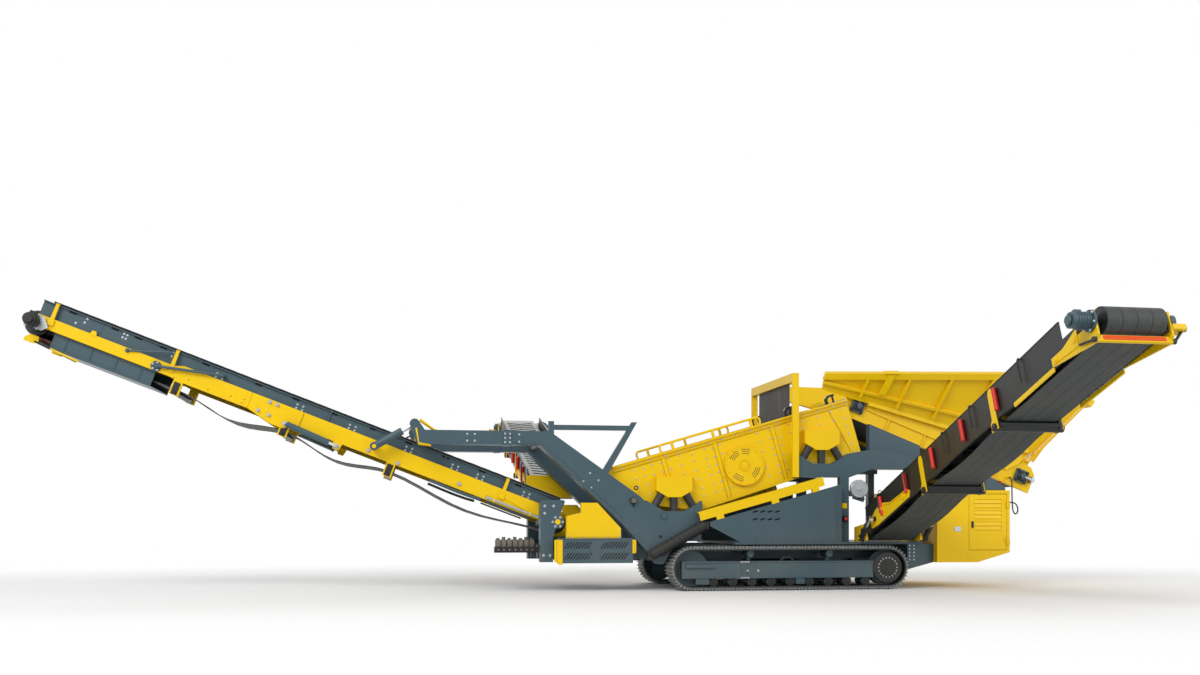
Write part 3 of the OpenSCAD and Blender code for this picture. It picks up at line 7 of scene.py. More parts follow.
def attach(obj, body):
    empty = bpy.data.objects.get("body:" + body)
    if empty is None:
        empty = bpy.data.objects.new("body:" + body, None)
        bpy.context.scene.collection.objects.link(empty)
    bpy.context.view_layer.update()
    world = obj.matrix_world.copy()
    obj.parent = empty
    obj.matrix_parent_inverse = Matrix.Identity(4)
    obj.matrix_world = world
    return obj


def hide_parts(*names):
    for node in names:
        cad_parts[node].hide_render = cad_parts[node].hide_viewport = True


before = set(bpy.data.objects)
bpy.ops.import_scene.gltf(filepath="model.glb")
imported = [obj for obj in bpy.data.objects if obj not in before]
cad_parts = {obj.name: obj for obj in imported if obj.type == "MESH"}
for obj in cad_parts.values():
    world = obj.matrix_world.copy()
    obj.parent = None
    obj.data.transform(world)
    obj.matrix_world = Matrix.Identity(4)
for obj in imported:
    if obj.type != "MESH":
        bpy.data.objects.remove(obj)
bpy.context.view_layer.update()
random.seed(7)
machineShift = 3.46625  # track centre in the model's frame
print("frame loaded:", len(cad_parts), "nodes")


# shader sockets as values: a Wire is one output, a Finish is one material or sky
class Wire:
    def __init__(self, finish, socket):
        self.finish = finish
        self.socket = socket

    def __add__(self, other):
        return self.finish.maths("ADD", self, other)

    def __sub__(self, other):
        return self.finish.maths("SUBTRACT", self, other)

    def __rsub__(self, other):
        return self.finish.maths("SUBTRACT", other, self)

    def __mul__(self, other):
        return self.finish.maths("MULTIPLY", self, other)

    __radd__ = __add__
    __rmul__ = __mul__

    def step(self, low, high):  # smooth step from 0 at low to 1 at high
        return self.finish.node(
            "ShaderNodeMapRange", {"interpolation_type": "SMOOTHSTEP"},
            {"Value": self, "From Min": low, "From Max": high})


class Finish:
    def __init__(self, owner, ending="ShaderNodeOutputMaterial"):
        self.owner = owner
        owner.use_nodes = True
        self.tree = owner.node_tree
        self.tree.nodes.clear()
        self.out = self.tree.nodes.new(ending)

    def node(self, kind, settings=None, inputs=None, output=0):
        made = self.tree.nodes.new(kind)
        for key, value in (settings or {}).items():
            setattr(made, key, value)
        for key, value in (inputs or {}).items():
            if isinstance(value, Wire):
                self.tree.links.new(value.socket, made.inputs[key])
            else:
                made.inputs[key].default_value = value
        return Wire(self, made.outputs[output])

    def place(self):  # object coordinates, in metres
        return self.node("ShaderNodeTexCoord", output="Object")

    def mapped(self, scale):
        return self.node("ShaderNodeMapping", {}, {"Vector": self.place(), "Scale": scale})

    def noise(self, scale, detail=3.0, rough=0.55, vector=None):
        return self.node("ShaderNodeTexNoise", {}, {
            "Vector": vector or self.place(), "Scale": scale, "Detail": detail, "Roughness": rough})

    def axis(self, name, vector=None):
        return self.node("ShaderNodeSeparateXYZ", {}, {0: vector or self.place()}, output=name)

    def upward(self):  # 1 on faces that look up
        return self.axis("Z", self.node("ShaderNodeNewGeometry", output="Normal")).step(0.35, 0.9)

    def maths(self, operation, first, second=0.0):
        return self.node("ShaderNodeMath", {"operation": operation}, {0: first, 1: second})

    def loopDepth(self, loop):  # distance from the middle of a track's loop
        middle, half, radius = loop
        beyond = self.maths("MAXIMUM", self.maths("ABSOLUTE", self.axis("X") - middle) - half)
        rise = self.axis("Z") - radius
        return self.maths("SQRT", beyond * beyond + rise * rise)

    def mix(self, factor, first, second):
        return self.node("ShaderNodeMix", {"data_type": "RGBA"}, {0: factor, 6: first, 7: second}, output=2)

    def bump(self, height, strength, distance):
        return self.node("ShaderNodeBump", {}, {"Height": height, "Strength": strength, "Distance": distance})

    def surface(self, kind="ShaderNodeBsdfPrincipled", **inputs):  # the last shader, to the output
        shader = self.node(kind, {}, {key.replace("_", " "): value for key, value in inputs.items()})
        self.tree.links.new(shader.socket, self.out.inputs["Surface"])
        return self.owner


def rgb(code):  # a written screen colour as linear values
    parts = [int(code[i:i + 2], 16) / 255 for i in (0, 2, 4)]
    return [c / 12.92 if c <= 0.04045 else ((c + 0.055) / 1.055) ** 2.4 for c in parts] + [1.0]


grime = {"paint": "9A8C74", "belt": "8C8474", "steel": "8A7C66", "rust": "5A3A22", "stripe": "0E0F0F"}


def newFinish(name):
    return Finish(bpy.data.materials.new(name))


def machinePaint(name, colour, shade, worn, rough, gloss, dust=0.12, wear=0.2, coat=0.08):
    f = newFinish(name)
    broad = f.noise(0.9, 4.0)
    fine = f.noise(26.0, 4.0, 0.6)
    streak = f.noise(1.0, 5.0, 0.6, f.mapped((9.0, 9.0, 0.7)))
    low = 1 - f.axis("Z").step(0.2, 1.6)
    dirt = (f.upward() * 0.55 + low * 0.75 + streak.step(0.52, 0.78) * 0.3) * broad.step(0.3, 0.75)
    scuff = (fine * broad).step(0.36, 0.44) * wear
    paint = f.mix(broad, rgb(shade), rgb(colour))
    paint = f.mix(dirt * dust, paint, rgb(grime["paint"]))
    paint = f.mix(scuff, paint, rgb(worn))
    peel = f.bump(f.noise(160.0, 2.0), 0.05, 0.002)
    return f.surface(
        Base_Color=paint, Roughness=dirt * 0.35 + scuff * 0.2 + rough,
        Normal=peel, Coat_Weight=coat, Coat_Roughness=0.2, Specular_IOR_Level=gloss)


def beltRubber(name, colour, rubbed, dust, stretch, rough, lines=()):
    f = newFinish(name)
    broad = f.noise(0.7, 4.0)
    grain = f.noise(90.0, 3.0)
    scratch = f.noise(1.0, 4.0, 0.6, f.mapped(stretch))
    dirt = (broad.step(0.35, 0.7) * scratch.step(0.4, 0.7)) * dust
    rubber = f.mix(scratch.step(0.5, 0.75) * 0.5, rgb(colour), rgb(rubbed))
    rubber = f.mix(dirt, rubber, rgb(grime["belt"]))
    for line in lines:  # dark stripes along the belt
        aside = f.maths("ABSOLUTE", f.axis("X") - line)
        rubber = f.mix((1 - aside.step(0.006, 0.014)) * 0.8, rubber, rgb(grime["stripe"]))
    return f.surface(Base_Color=rubber, Roughness=dirt * 0.3 + rough, Normal=f.bump(grain, 0.15, 0.003))


def bareSteel(name, colour, bright, rust, dust, metal, rough, loop=None, links=None, tips=None):
    f = newFinish(name)
    broad = f.noise(1.6, 4.0)
    fine = f.noise(40.0, 4.0)
    rusty = (broad * fine).step(0.26, 0.4) * rust
    dirt = f.upward() * broad.step(0.35, 0.7) * dust
    steel = f.mix(fine, rgb(colour), rgb(bright))
    if loop:  # dark links inside, worn tips outside
        depth = f.loopDepth(loop)
        steel = f.mix(depth.step(0.3, 0.325), rgb(links), steel)
        steel = f.mix(depth.step(0.325, 0.35) * fine.step(0.25, 0.6) * 0.8, steel, rgb(tips))
    steel = f.mix(rusty, steel, rgb(grime["rust"]))
    steel = f.mix(dirt, steel, rgb(grime["steel"]))
    return f.surface(
        Base_Color=steel, Metallic=metal - rusty * 0.6 * metal,
        Roughness=fine * 0.25 + rusty * 0.3 + rough, Normal=f.bump(fine, 0.12, 0.002))


finishes = {
    "yellow": machinePaint("yellowPaint", "F4CB00", "EBC000", "CDA510", wear=0.22, rough=0.36, gloss=0.22),
    "grey": machinePaint("slatePaint", "455B64", "3B5059", "6E7D85", dust=0.14, wear=0.25, rough=0.38, gloss=0.3),
    "black": machinePaint("blackPaint", "1D2021", "171A1B", "44484A", dust=0.08, wear=0.25, rough=0.42, gloss=0.35),
    "red": machinePaint("redPaint", "DE3426", "C92A1E", "9A4A40", rough=0.36, coat=0.1, gloss=0.25),
    "orange": machinePaint("orangeBlade", "F0601E", "DE4E14", "B8703E", dust=0.15, wear=0.3, rough=0.45, coat=0.0,
                           gloss=0.25),
    "belt": beltRubber("beltRubber", "2C2E2D", "4A4B48", dust=0.3, stretch=(1.2, 14, 14), rough=0.62),
    "sideBelt": beltRubber("sideBeltRubber", "303634", "3F4441", dust=0.1, stretch=(14, 1.2, 14), rough=0.6,
                           lines=(5.096, 5.286, 5.476)),
    "farBelt": beltRubber("farBeltRubber", "A3A4A0", "C6C6C1", dust=0.3, stretch=(14, 1.2, 14), rough=0.66),
    "curtain": beltRubber("curtainRubber", "3A3A38", "5A5852", dust=0.5, stretch=(14, 14, 1.2), rough=0.7),
    "buffer": beltRubber("bufferRubber", "1C1D1D", "303131", dust=0.15, stretch=(9, 9, 9), rough=0.55),
    # near-black painted shade for the insides of slots and holes
    "gap": beltRubber("slotPaintedShade", "060707", "0A0B0B", dust=0.05, stretch=(9, 9, 9), rough=0.9),
    # darker yellow seam lines: partly the joints' own colour, partly painted shade along the seams and under the top
    # flange
    "seam": machinePaint("seamShadePaint", "C79E00", "B88F00", "B08A10", rough=0.5, coat=0.0, gloss=0.2),
    "track": bareSteel("trackSteel", "34373A", "5A5E60", rust=0.12, dust=0.2, metal=0.4, rough=0.48,
                       loop=(machineShift, 1.725, 0.375), links="17191A", tips="A6AAA6"),
    "deck": bareSteel("deckSteel", "5C5852", "8A857C", rust=0.5, dust=0.5, metal=0.7, rough=0.4),
    "zinc": bareSteel("zincSteel", "A2A7AA", "C4C9CB", rust=0.05, dust=0.1, metal=0.75, rough=0.28),
    "chrome": bareSteel("rodChrome", "C8CCCE", "E2E5E6", rust=0.0, dust=0.05, metal=1.0, rough=0.12),
}
print("finishes made:", len(finishes))

nodeFinish = {
    "yellow": """guard_beams hoods screen_sides screen_back exciter portal handrails feeder_sides hopper_wings
        hopper_skirts rear_wall cabinet cabinet_door front_beams near_base near_head far_base far_head""",
    "grey": """track_frames chassis cross_ties deck_plate tail_plates side_panels girders gantry_tie slot_boxes
        front_posts rear_supports arm_brace feeder_drums front_skirts front_guard lift_barrels near_motor
        far_motor""",
    "black": "front_drums front_motor near_frame near_drums near_barrels far_frame far_drums far_barrels",
    "red": "near_struts far_struts",
    "belt": "feeder_belt front_belt",
    "sideBelt": "near_belt",
    "farBelt": "far_belt",
    "curtain": "curtain",
    "buffer": "buffers rear_hose",
    "track": "tracks",
    "deck": "top_deck low_deck",
    "chrome": "lift_rods near_rods far_rods",
}
for finish, names in nodeFinish.items():
    for name in names.split():
        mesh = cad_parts[name].data
        mesh.materials.clear()
        mesh.materials.append(finishes[finish])
print("nodes painted")

# plain white studio with the camera of the photograph
studio = {
    "floor": 60.0, "floorColour": (0.93, 0.93, 0.93, 1), "fade": (5.0, 13.0), "sky": 0.5,
    "key": {"power": 5200, "size": 16, "from": (-16, -22, 20), "to": (-1, 0, 1.5)},
    "fill": {"power": 1900, "size": 18, "from": (20, -20, 12), "to": (2, 0, 1.5)},
    "back": {"power": 1800, "size": 16, "from": (4, 24, 18), "to": (0, 0, 2)},
    "camera": (-3.074, -20.5, 1.150), "yaw": -9.66, "lens": 35.25, "sensor": 36.0, "lift": 0.154,
}
bpy.ops.object.select_all(action="DESELECT")
bpy.ops.mesh.primitive_plane_add(size=studio["floor"])
floor = bpy.context.object
floor.name = "studioFloor"
white = newFinish("studioWhite")
away = white.node("ShaderNodeVectorMath", {"operation": "LENGTH"}, {0: white.mapped((0.6, 1.0, 0.0))},
                  output="Value")
floor.data.materials.append(white.surface(
    Base_Color=studio["floorColour"], Roughness=0.9, Alpha=1 - away.step(*studio["fade"])))

sky = Finish(bpy.data.worlds.new("studioSky"), "ShaderNodeOutputWorld")
whiteRay = sky.node("ShaderNodeLightPath", output="Is Camera Ray")
for ray in ("Is Glossy Ray", "Is Transmission Ray"):  # reflections see the white sky too
    whiteRay = sky.maths("MAXIMUM", whiteRay, sky.node("ShaderNodeLightPath", output=ray))
skyLevel = sky.node("ShaderNodeMapRange", {}, {"Value": whiteRay, "To Min": studio["sky"]})
bpy.context.scene.world = sky.surface("ShaderNodeBackground", Color=(1, 1, 1, 1), Strength=skyLevel)

for name in ("key", "fill", "back"):
    setting = studio[name]
    lamp = bpy.data.lights.new(name + "Lamp", "AREA")
    lamp.energy = setting["power"]
    lamp.size = setting["size"]
    holder = bpy.data.objects.new(lamp.name, lamp)
    holder.location = setting["from"]
    holder.rotation_euler = (Vector(setting["to"]) - Vector(setting["from"])).to_track_quat("-Z", "Y").to_euler()
    bpy.context.collection.objects.link(holder)
eye = bpy.data.cameras.new("photoCamera")
eye.lens = studio["lens"]
eye.sensor_width = studio["sensor"]
eye.shift_y = studio["lift"]
eye.clip_end = 400
eyeHolder = bpy.data.objects.new("photoCamera", eye)
eyeHolder.location = studio["camera"]
eyeHolder.rotation_euler = (math.radians(90), 0, math.radians(studio["yaw"]))
bpy.context.collection.objects.link(eyeHolder)
bpy.context.scene.camera = eyeHolder
bpy.context.scene.view_settings.view_transform = "Standard"
print("studio ready")


# frames that the machine's sloping units are built in
def spot(x, y, z):
    return Matrix.Translation((x, y, z))


def tilt(angle, axis="Y"):
    return Matrix.Rotation(math.radians(angle), 4, axis)


level = spot(machineShift, 0, 0)
onScreen = level @ spot(-3.162, 0, 2.036) @ tilt(-16.4)
onFeeder = level @ spot(1.379, 0, 3.189) @ tilt(21.36)
onFront = level @ spot(-3.950, 0, 1.157) @ tilt(20.9)
onNear = level @ spot(1.820, -1.290, 1.015) @ tilt(90, "Z") @ tilt(20)
onFar = level @ spot(-3.720, 1.420, 1.760) @ tilt(-90, "Z") @ tilt(14.3)
nearLength, farLength, frontLength = 7.2, 6.848, 8.842
mirror = Matrix.Diagonal((1, -1, 1, 1))  # from the near side to the far side
recordSlot = {
    "yellow": "yellow_paint", "grey": "grey_paint", "black": "black_paint", "red": "red_paint",
    "belt": "belt_rubber", "sideBelt": "belt_rubber", "farBelt": "belt_rubber", "buffer": "buffer_rubber",
    "track": "track_steel", "deck": "deck_steel", "chrome": "rod_chrome",
}


# hand tools: each starts from a primitive and shapes it in edit mode
def pickNone():
    bpy.ops.object.select_all(action="DESELECT")


def openEdit():
    bpy.ops.object.mode_set(mode="EDIT")
    bpy.ops.mesh.select_all(action="SELECT")


def closeEdit():
    bpy.ops.object.mode_set(mode="OBJECT")
    return bpy.context.object


def pickFaces(piece, test):  # select faces by their normal, then edit
    bpy.context.tool_settings.mesh_select_mode = (False, False, True)
    openEdit()
    bpy.ops.mesh.select_all(action="DESELECT")
    closeEdit()
    for face in piece.data.polygons:
        face.select = test(face.normal)
    bpy.ops.object.mode_set(mode="EDIT")


def blockOf(low, high, bevel=0.004):
    pickNone()
    bpy.ops.mesh.primitive_cube_add(size=1)
    openEdit()
    bpy.ops.transform.resize(value=[h - l for l, h in zip(low, high)])
    bpy.ops.transform.translate(value=[(h + l) / 2 for l, h in zip(low, high)])
    bpy.ops.mesh.bevel(offset=bevel, segments=1, affect="EDGES")
    return closeEdit()


def plateOf(outline, low, high, bevel=0.004):  # outline in x and z, thick along y
    pickNone()
    bpy.ops.mesh.primitive_circle_add(vertices=len(outline), fill_type="NGON")
    piece = bpy.context.object
    for vertex, (x, z) in zip(piece.data.vertices, outline):
        vertex.co = (x, low, z)
    openEdit()
    bpy.ops.mesh.extrude_region_move(TRANSFORM_OT_translate={"value": (0, high - low, 0)})
    bpy.ops.mesh.select_all(action="SELECT")
    bpy.ops.mesh.normals_make_consistent(inside=False)
    if bevel:
        bpy.ops.mesh.bevel(offset=bevel, segments=1, affect="EDGES", clamp_overlap=True)
    return closeEdit()


def ribOf(x, outline, thick, bevel=0.003):  # outline in y and z, thick along x
    rib = plateOf(outline, -thick / 2, thick / 2, bevel)
    rib.data.transform(spot(x, 0, 0) @ tilt(90, "Z"))
    return rib


def arcOf(centre, radius, width, start, sweep, low, high, steps=8):  # a curved slot or cover
    turns = [math.radians(start + sweep * k / steps) for k in range(steps + 1)]
    outline = [(radius + width, turn) for turn in turns] + [(radius, turn) for turn in reversed(turns)]
    places = [(centre[0] + reach * math.cos(turn), centre[1] + reach * math.sin(turn)) for reach, turn in outline]
    return plateOf(places, low, high, 0)


def barOf(start, end, radius, sides=16, bevel=0.004):
    run = Vector(end) - Vector(start)
    pickNone()
    bpy.ops.mesh.primitive_cylinder_add(vertices=sides, radius=radius, depth=run.length)
    piece = bpy.context.object
    pickFaces(piece, lambda normal: abs(normal.z) > 0.9)
    bpy.ops.mesh.bevel(offset=bevel, segments=1, affect="EDGES", clamp_overlap=True)
    closeEdit()
    middle = (Vector(end) + Vector(start)) / 2
    piece.data.transform(Matrix.Translation(middle) @ run.to_track_quat("Z", "Y").to_matrix().to_4x4())
    return piece


def discOf(x, z, near, far, radius, sides=16, bevel=0.004):  # a round part across the machine
    return barOf((x, near, z), (x, far, z), radius, sides, bevel)


def ringOf(centre, radius, bend, y):  # a round lip that lies on a side face
    pickNone()
    bpy.ops.mesh.primitive_torus_add(major_radius=radius, minor_radius=bend, major_segments=48, minor_segments=8)
    openEdit()
    bpy.ops.transform.resize(value=(1, 1, 0.75))  # a flattened lip
    lip = closeEdit()
    lip.data.transform(spot(centre[0], y, centre[1]) @ tilt(90, "X"))
    return lip


def tubeOf(points, radius):  # a bent pipe along a smooth path
    path = bpy.data.curves.new("pipePath", "CURVE")
    path.dimensions = "3D"
    path.bevel_depth = radius
    path.bevel_resolution = 2
    path.use_fill_caps = True
    spline = path.splines.new("BEZIER")
    spline.bezier_points.add(len(points) - 1)
    for bend, point in zip(spline.bezier_points, points):
        bend.co = point
        bend.handle_left_type = bend.handle_right_type = "AUTO"
    spline.resolution_u = 6
    pipe = bpy.data.objects.new("pipe", path)
    bpy.context.collection.objects.link(pipe)
    joined([pipe])
    bpy.ops.object.convert(target="MESH")
    return bpy.context.object


def joined(pieces):  # one active piece
    pickNone()
    for piece in pieces:
        piece.select_set(True)
    bpy.context.view_layer.objects.active = pieces[0]
    if len(pieces) > 1:
        bpy.ops.object.join()
    return bpy.context.view_layer.objects.active


def copyOf(piece, matrix):
    twin = piece.copy()
    twin.data = piece.data.copy()
    twin.data.transform(matrix)
    if matrix.determinant() < 0:
        twin.data.flip_normals()
    bpy.context.collection.objects.link(twin)
    return twin


def repeat(source, places):  # the same part at each place
    copies = [copyOf(source, spot(*place)) for place in places]
    bpy.data.objects.remove(source)
    return joined(copies)


def row(source, count, step):  # the same part at even steps
    return repeat(source, [Vector(step) * k for k in range(count)])


def along(source, runs, way=1):
    return repeat(source, [(way * run, 0, 0) for run in runs])


def upBelt(source, runs):  # the same part at each run up a conveyor
    return along(source, runs, -1)


def bothSides(piece):
    return joined([piece, copyOf(piece, mirror)])


def stubOf(sides, radius, height):  # upright on z = 0
    pickNone()
    bpy.ops.mesh.primitive_cylinder_add(vertices=sides, radius=radius, depth=height, location=(0, 0, height / 2))
    bpy.ops.object.transform_apply(location=True)
    return bpy.context.object


def boltsAt(radius, height, places, normal=(0, -1, 0)):  # washers and chamfered heads that look along the normal
    washer = stubOf(12, radius * 1.5, height * 0.3)
    head = stubOf(6, radius, height)
    pickFaces(head, lambda facing: facing.z > 0.9)
    bpy.ops.mesh.bevel(offset=radius * 0.18, segments=1, affect="EDGES")
    closeEdit()
    bolt = joined([head, washer])
    bolt.data.transform(Vector(normal).to_track_quat("Z", "Y").to_matrix().to_4x4())
    return repeat(bolt, places)


def circlePlaces(centre, radius, count, y, start=0.0):
    turns = [math.radians(start + 360 * k / count) for k in range(count)]
    return [(centre[0] + radius * math.cos(turn), y, centre[1] + radius * math.sin(turn)) for turn in turns]


def cornerPlaces(centre, half, rise, y):  # four places around (x, z)
    return [(centre[0] + a, y, centre[1] + b) for a in (-half, half) for b in (-rise, rise)]


# a finished piece: placed, painted and riding its body
def settle(pieces, name, finish, body="machine", matrix=level, smooth=False):
    piece = joined(pieces)
    piece.data.transform(matrix)
    piece.name = piece.data.name = name
    piece.data.materials.clear()
    piece.data.materials.append(finishes[finish])
    if smooth:
        bpy.ops.object.shade_smooth_by_angle(angle=math.radians(35))
    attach(piece, body)
    finish in recordSlot
    return piece


def pair(pieces, name, finish, **where):  # the same on the far side
    return settle([bothSides(joined(pieces))], name, finish, **where)


# the hose that hangs from the cabinet and goes up into the feeder
hoseLook = {
    "radius": 0.012, "route": [
        (4.04, -1.29, 1.5), (4.1, -1.29, 1.5), (4.15, -1.288, 1.486), (4.19, -1.282, 1.454), (4.216, -1.272, 1.41),
        (4.23, -1.254, 1.362), (4.234, -1.226, 1.322), (4.234, -1.19, 1.302), (4.234, -1.15, 1.304),
        (4.232, -1.114, 1.326), (4.23, -1.09, 1.366), (4.228, -1.078, 1.42), (4.226, -1.074, 1.48),
        (4.224, -1.072, 1.55), (4.222, -1.072, 1.62), (4.22, -1.072, 1.69), (4.22, -1.072, 1.76), (4.22, -1.07, 1.826),
        (4.22, -1.06, 1.884), (4.22, -1.038, 1.928), (4.22, -1.006, 1.95), (4.22, -0.96, 1.95)],
}
hose = settle([tubeOf(hoseLook["route"], hoseLook["radius"])], "rear_hose_cord", "buffer", smooth=True)
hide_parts("rear_hose")

# screen box: bolt columns, seam lines partly of painted shade, exciter cover with painted shade in its slots, rail
# ends, yoke ribs, lifting clamps
screenLook = {
    "columns": [0.5, 0.66, 0.82, 0.98, 1.13, 1.32, 1.55, 1.78, 1.92, 2.06, 2.76, 2.97, 3.12, 3.34, 3.6, 3.88, 4.14,
                4.36],
    "pitch": 0.15, "bolt": 0.0105, "head": 0.013, "face": -1.0, "flange": 0.008, "seams": (1.01, 1.95, 3.01),
    "exciter": (2.371, -0.6), "cover": 0.35, "coverFace": -1.06, "yokes": [(1.133, -0.372), (3.88, -0.319)],
    "slots": [(100, 42), (52, 34), (206, 44), (292, 44)], "slotRadii": [0.2, 0.235, 0.27], "slotWidth": 0.009,
    "clamps": [3.42, 4.2],
}


def screenEdge(u):  # lower edge of the side plate
    if u < 0.6:
        return -1.317 * u
    return -0.79 - 0.42 * (u - 0.6) if u < 1.41 else -1.13 + 0.026 * (u - 1.41)


def screenBolts():
    face, onFlange = screenLook["face"], screenLook["face"] - screenLook["flange"]
    places = []
    for u in screenLook["columns"]:
        v = -0.15
        while v > screenEdge(u) + 0.1:
            inYoke = any(abs(u - a) < 0.37 and b - 0.5 < v < b - 0.08 for a, b in screenLook["yokes"])
            onCover = math.dist((u, v), screenLook["exciter"]) < screenLook["cover"] + 0.04
            seam = any(s - 0.025 < u < s + 0.085 for s in screenLook["seams"]) and v > -0.72
            if not inYoke and not onCover:
                places.append((u, onFlange if seam else face, v + random.uniform(-0.02, 0.02)))
            v -= screenLook["pitch"]
    return places + [(0.3 + 0.26 * k, onFlange, -0.06) for k in range(17)]


# a thin darker yellow strip: partly a real joint line, partly painted shade
def seamShadeOf(outline):
    return plateOf(outline, -1.0095, -0.996, 0.002)


onBox = {"matrix": onScreen}
pair([boltsAt(screenLook["bolt"], screenLook["head"], screenBolts())], "screen_bolts", "zinc", **onBox)
seamShadeLines = []
# darker lines along both edges of each seam, partly painted shade
for seam in screenLook["seams"]:
    foot = screenEdge(seam) + 0.05
    for u in (seam - 0.009, seam + 0.06):
        seamShadeLines.append(seamShadeOf([(u, -0.1), (u + 0.009, -0.1), (u + 0.009, foot), (u, foot)]))
# a painted shade line beneath the top flange, and a seam line down by the rear yoke
seamShadeLines += [seamShadeOf([(0.16, -0.108), (4.47, -0.108), (4.47, -0.099), (0.16, -0.099)]),
              seamShadeOf([(4.1, -0.1), (4.109, -0.1), (4.209, -0.45), (4.309, -0.9), (4.3, -0.9), (4.2, -0.45)])]
pair(seamShadeLines, "screen_seam_shade", "seam", **onBox)

centre, face = screenLook["exciter"], screenLook["coverFace"]
cover = [ringOf(centre, 0.338, 0.012, face), ringOf(centre, 0.09, 0.008, face - 0.008),
         boltsAt(0.014, 0.014, circlePlaces(centre, 0.312, 14, face, 8))]
pair(cover, "exciter_cover_lip", "yellow", smooth=True, **onBox)
# the cover's slots as black arcs of painted shade
slots = [arcOf(centre, radius, screenLook["slotWidth"], start, sweep, face - 0.0025, face + 0.002)
         for start, sweep in screenLook["slots"] for radius in screenLook["slotRadii"]]
pair(slots, "exciter_slot_shade", "black", **onBox)
railEnds = []
for u, way in ((1.12, -1), (2.78, 1)):
    bends = ((0, 0.13), (0.06, 0.122), (0.085, 0.07), (0.07, 0))
    railEnds.append(tubeOf([(u + way * reach, -1.0, rise) for reach, rise in bends], 0.02))
pair(railEnds, "rail_ends", "yellow", smooth=True, **onBox)
yokeRibs = []
for u, v in screenLook["yokes"]:
    for shift in (-0.3, -0.1, 0.1, 0.3):
        top = v - 0.1 if abs(shift) < 0.2 else v - 0.16
        yokeRibs.append(ribOf(u + shift, [(-0.995, top), (-1.14, v - 0.215), (-0.995, v - 0.215)], 0.014))
pair(yokeRibs, "yoke_ribs", "yellow", **onBox)
hook = [(-0.09, 0), (-0.09, 0.1), (-0.03, 0.15), (0.09, 0.15), (0.09, 0.11), (-0.01, 0.11), (-0.045, 0.08),
        (-0.045, 0)]
clamp = joined([plateOf(hook, -0.99, -0.93), barOf((0.06, -0.96, 0.0), (0.06, -0.96, 0.13), 0.018)])
pair([along(clamp, screenLook["clamps"])], "lifting_clamps", "black", **onBox)
print("screen box dressed")

# woven wire over the upper deck, seen from above
meshLook = {"from": 0.42, "to": 4.44, "pitch": 0.09, "wire": 0.007, "half": 0.955, "depth": -0.322}
half, pitch = meshLook["half"], meshLook["pitch"]
wireCount = int((meshLook["to"] - meshLook["from"]) / pitch)
wire = discOf(meshLook["from"], meshLook["depth"], -half, half, meshLook["wire"], 8, 0.002)
settle([row(wire, wireCount, (pitch, 0, 0))], "deck_wires", "deck", smooth=True, **onBox)

# feeder: bearing flanges, side ribs, lifting lugs, tail tensioners, rails and locks on the wings
feederLook = {
    "ribs": [0.62, 1.35, 2.1, 2.85], "drums": [0.0, 3.322], "side": -0.898, "tension": -0.985,
    "lug": [(0.19, 0.16), (0.19, 0.3), (0.24, 0.335), (0.3, 0.335), (0.35, 0.3), (0.35, 0.16)],
}
onBelt = {"matrix": onFeeder}
bearing = joined([discOf(0, 0, -0.955, -0.995, 0.088, 24, 0.012),
                  boltsAt(0.022, 0.024, cornerPlaces((0, 0), 0.082, 0.082, -0.96))])
pair([along(bearing, feederLook["drums"])], "feeder_bearings", "black", smooth=True, **onBelt)
side, line = feederLook["side"], feederLook["tension"]
sideRib = blockOf((0, -0.94, -0.2), (0.02, side, 0.19))
sideRibs = [along(sideRib, feederLook["ribs"]),
            blockOf((0.3, -0.945, -0.23), (3.42, side, -0.205)), plateOf(feederLook["lug"], -0.955, -0.932)]
pair(sideRibs, "feeder_ribs", "yellow", **onBelt)
pair([ringOf((0.27, 0.27), 0.032, 0.008, y) for y in (-0.957, -0.93)], "feeder_lug_eyes", "zinc", smooth=True,
     **onBelt)
tension = [barOf((3.36, line, 0), (3.56, line, 0), 0.02, 12), blockOf((3.5, -1.02, -0.06), (3.53, -0.9, 0.06)),
           barOf((3.53, line, 0), (3.556, line, 0), 0.036, 6), barOf((3.46, line, 0), (3.49, line, 0), 0.036, 6)]
pair(tension, "feeder_tensioners", "zinc", **onBelt)
onWing = spot(0.7, -0.975, 3.47) @ tilt(15) @ tilt(30, "X")  # the near wing's own plane
wingTrim = joined([plateOf([(-0.05, 0.12), (2.65, 0.27), (2.65, 0.33), (-0.05, 0.18)], -0.085, -0.028, 0.006),
                   plateOf([(0.95, 0.24), (1.06, 0.25), (1.09, 0.67), (0.96, 0.63)], -0.12, -0.098),
                   plateOf([(0.88, 0.616), (1.14, 0.696), (1.14, 0.72), (0.88, 0.64)], -0.13, -0.01)])
wingTrim.data.transform(onWing)
pair([wingTrim], "wing_rails", "yellow")
print("feeder dressed")

# cabinet: slats in the louvres, latch, seams, lifting eyes, control panel
cabinetLook = {
    "louvre": 0.195, "slats": ((1.4, 1.475), (1.475, 1.548)), "middle": 3.587, "wide": 0.512, "eyes": (3.32, 2.75),
    "knob": (3.68, -1.13, 1.945), "stop": (3.86, -1.26, 1.826), "facing": (0.188, 0, 0.285),
}
louvre = []
for low, high in cabinetLook["slats"]:
    lip = [(-1.404, low + 0.016), (-1.404, low + 0.006), (-1.396, low + 0.006), (-1.387, low + 0.03)]
    louvre.append(ribOf(cabinetLook["middle"], [(-1.387, high)] + lip, cabinetLook["wide"], 0))
settle([row(joined(louvre), 3, (0, 0, -cabinetLook["louvre"]))], "door_slats", "yellow", "door")
latch = [blockOf((3.275, -1.414, 1.05), (3.315, -1.398, 1.17), 0.006), discOf(3.295, 1.11, -1.41, -1.43, 0.016)]
settle(latch, "door_latch", "black", "door")
settle([blockOf((2.96, -1.406, 0.99), (3.08, -1.399, 1.075), 0.003)], "cabinet_plate", "zinc")
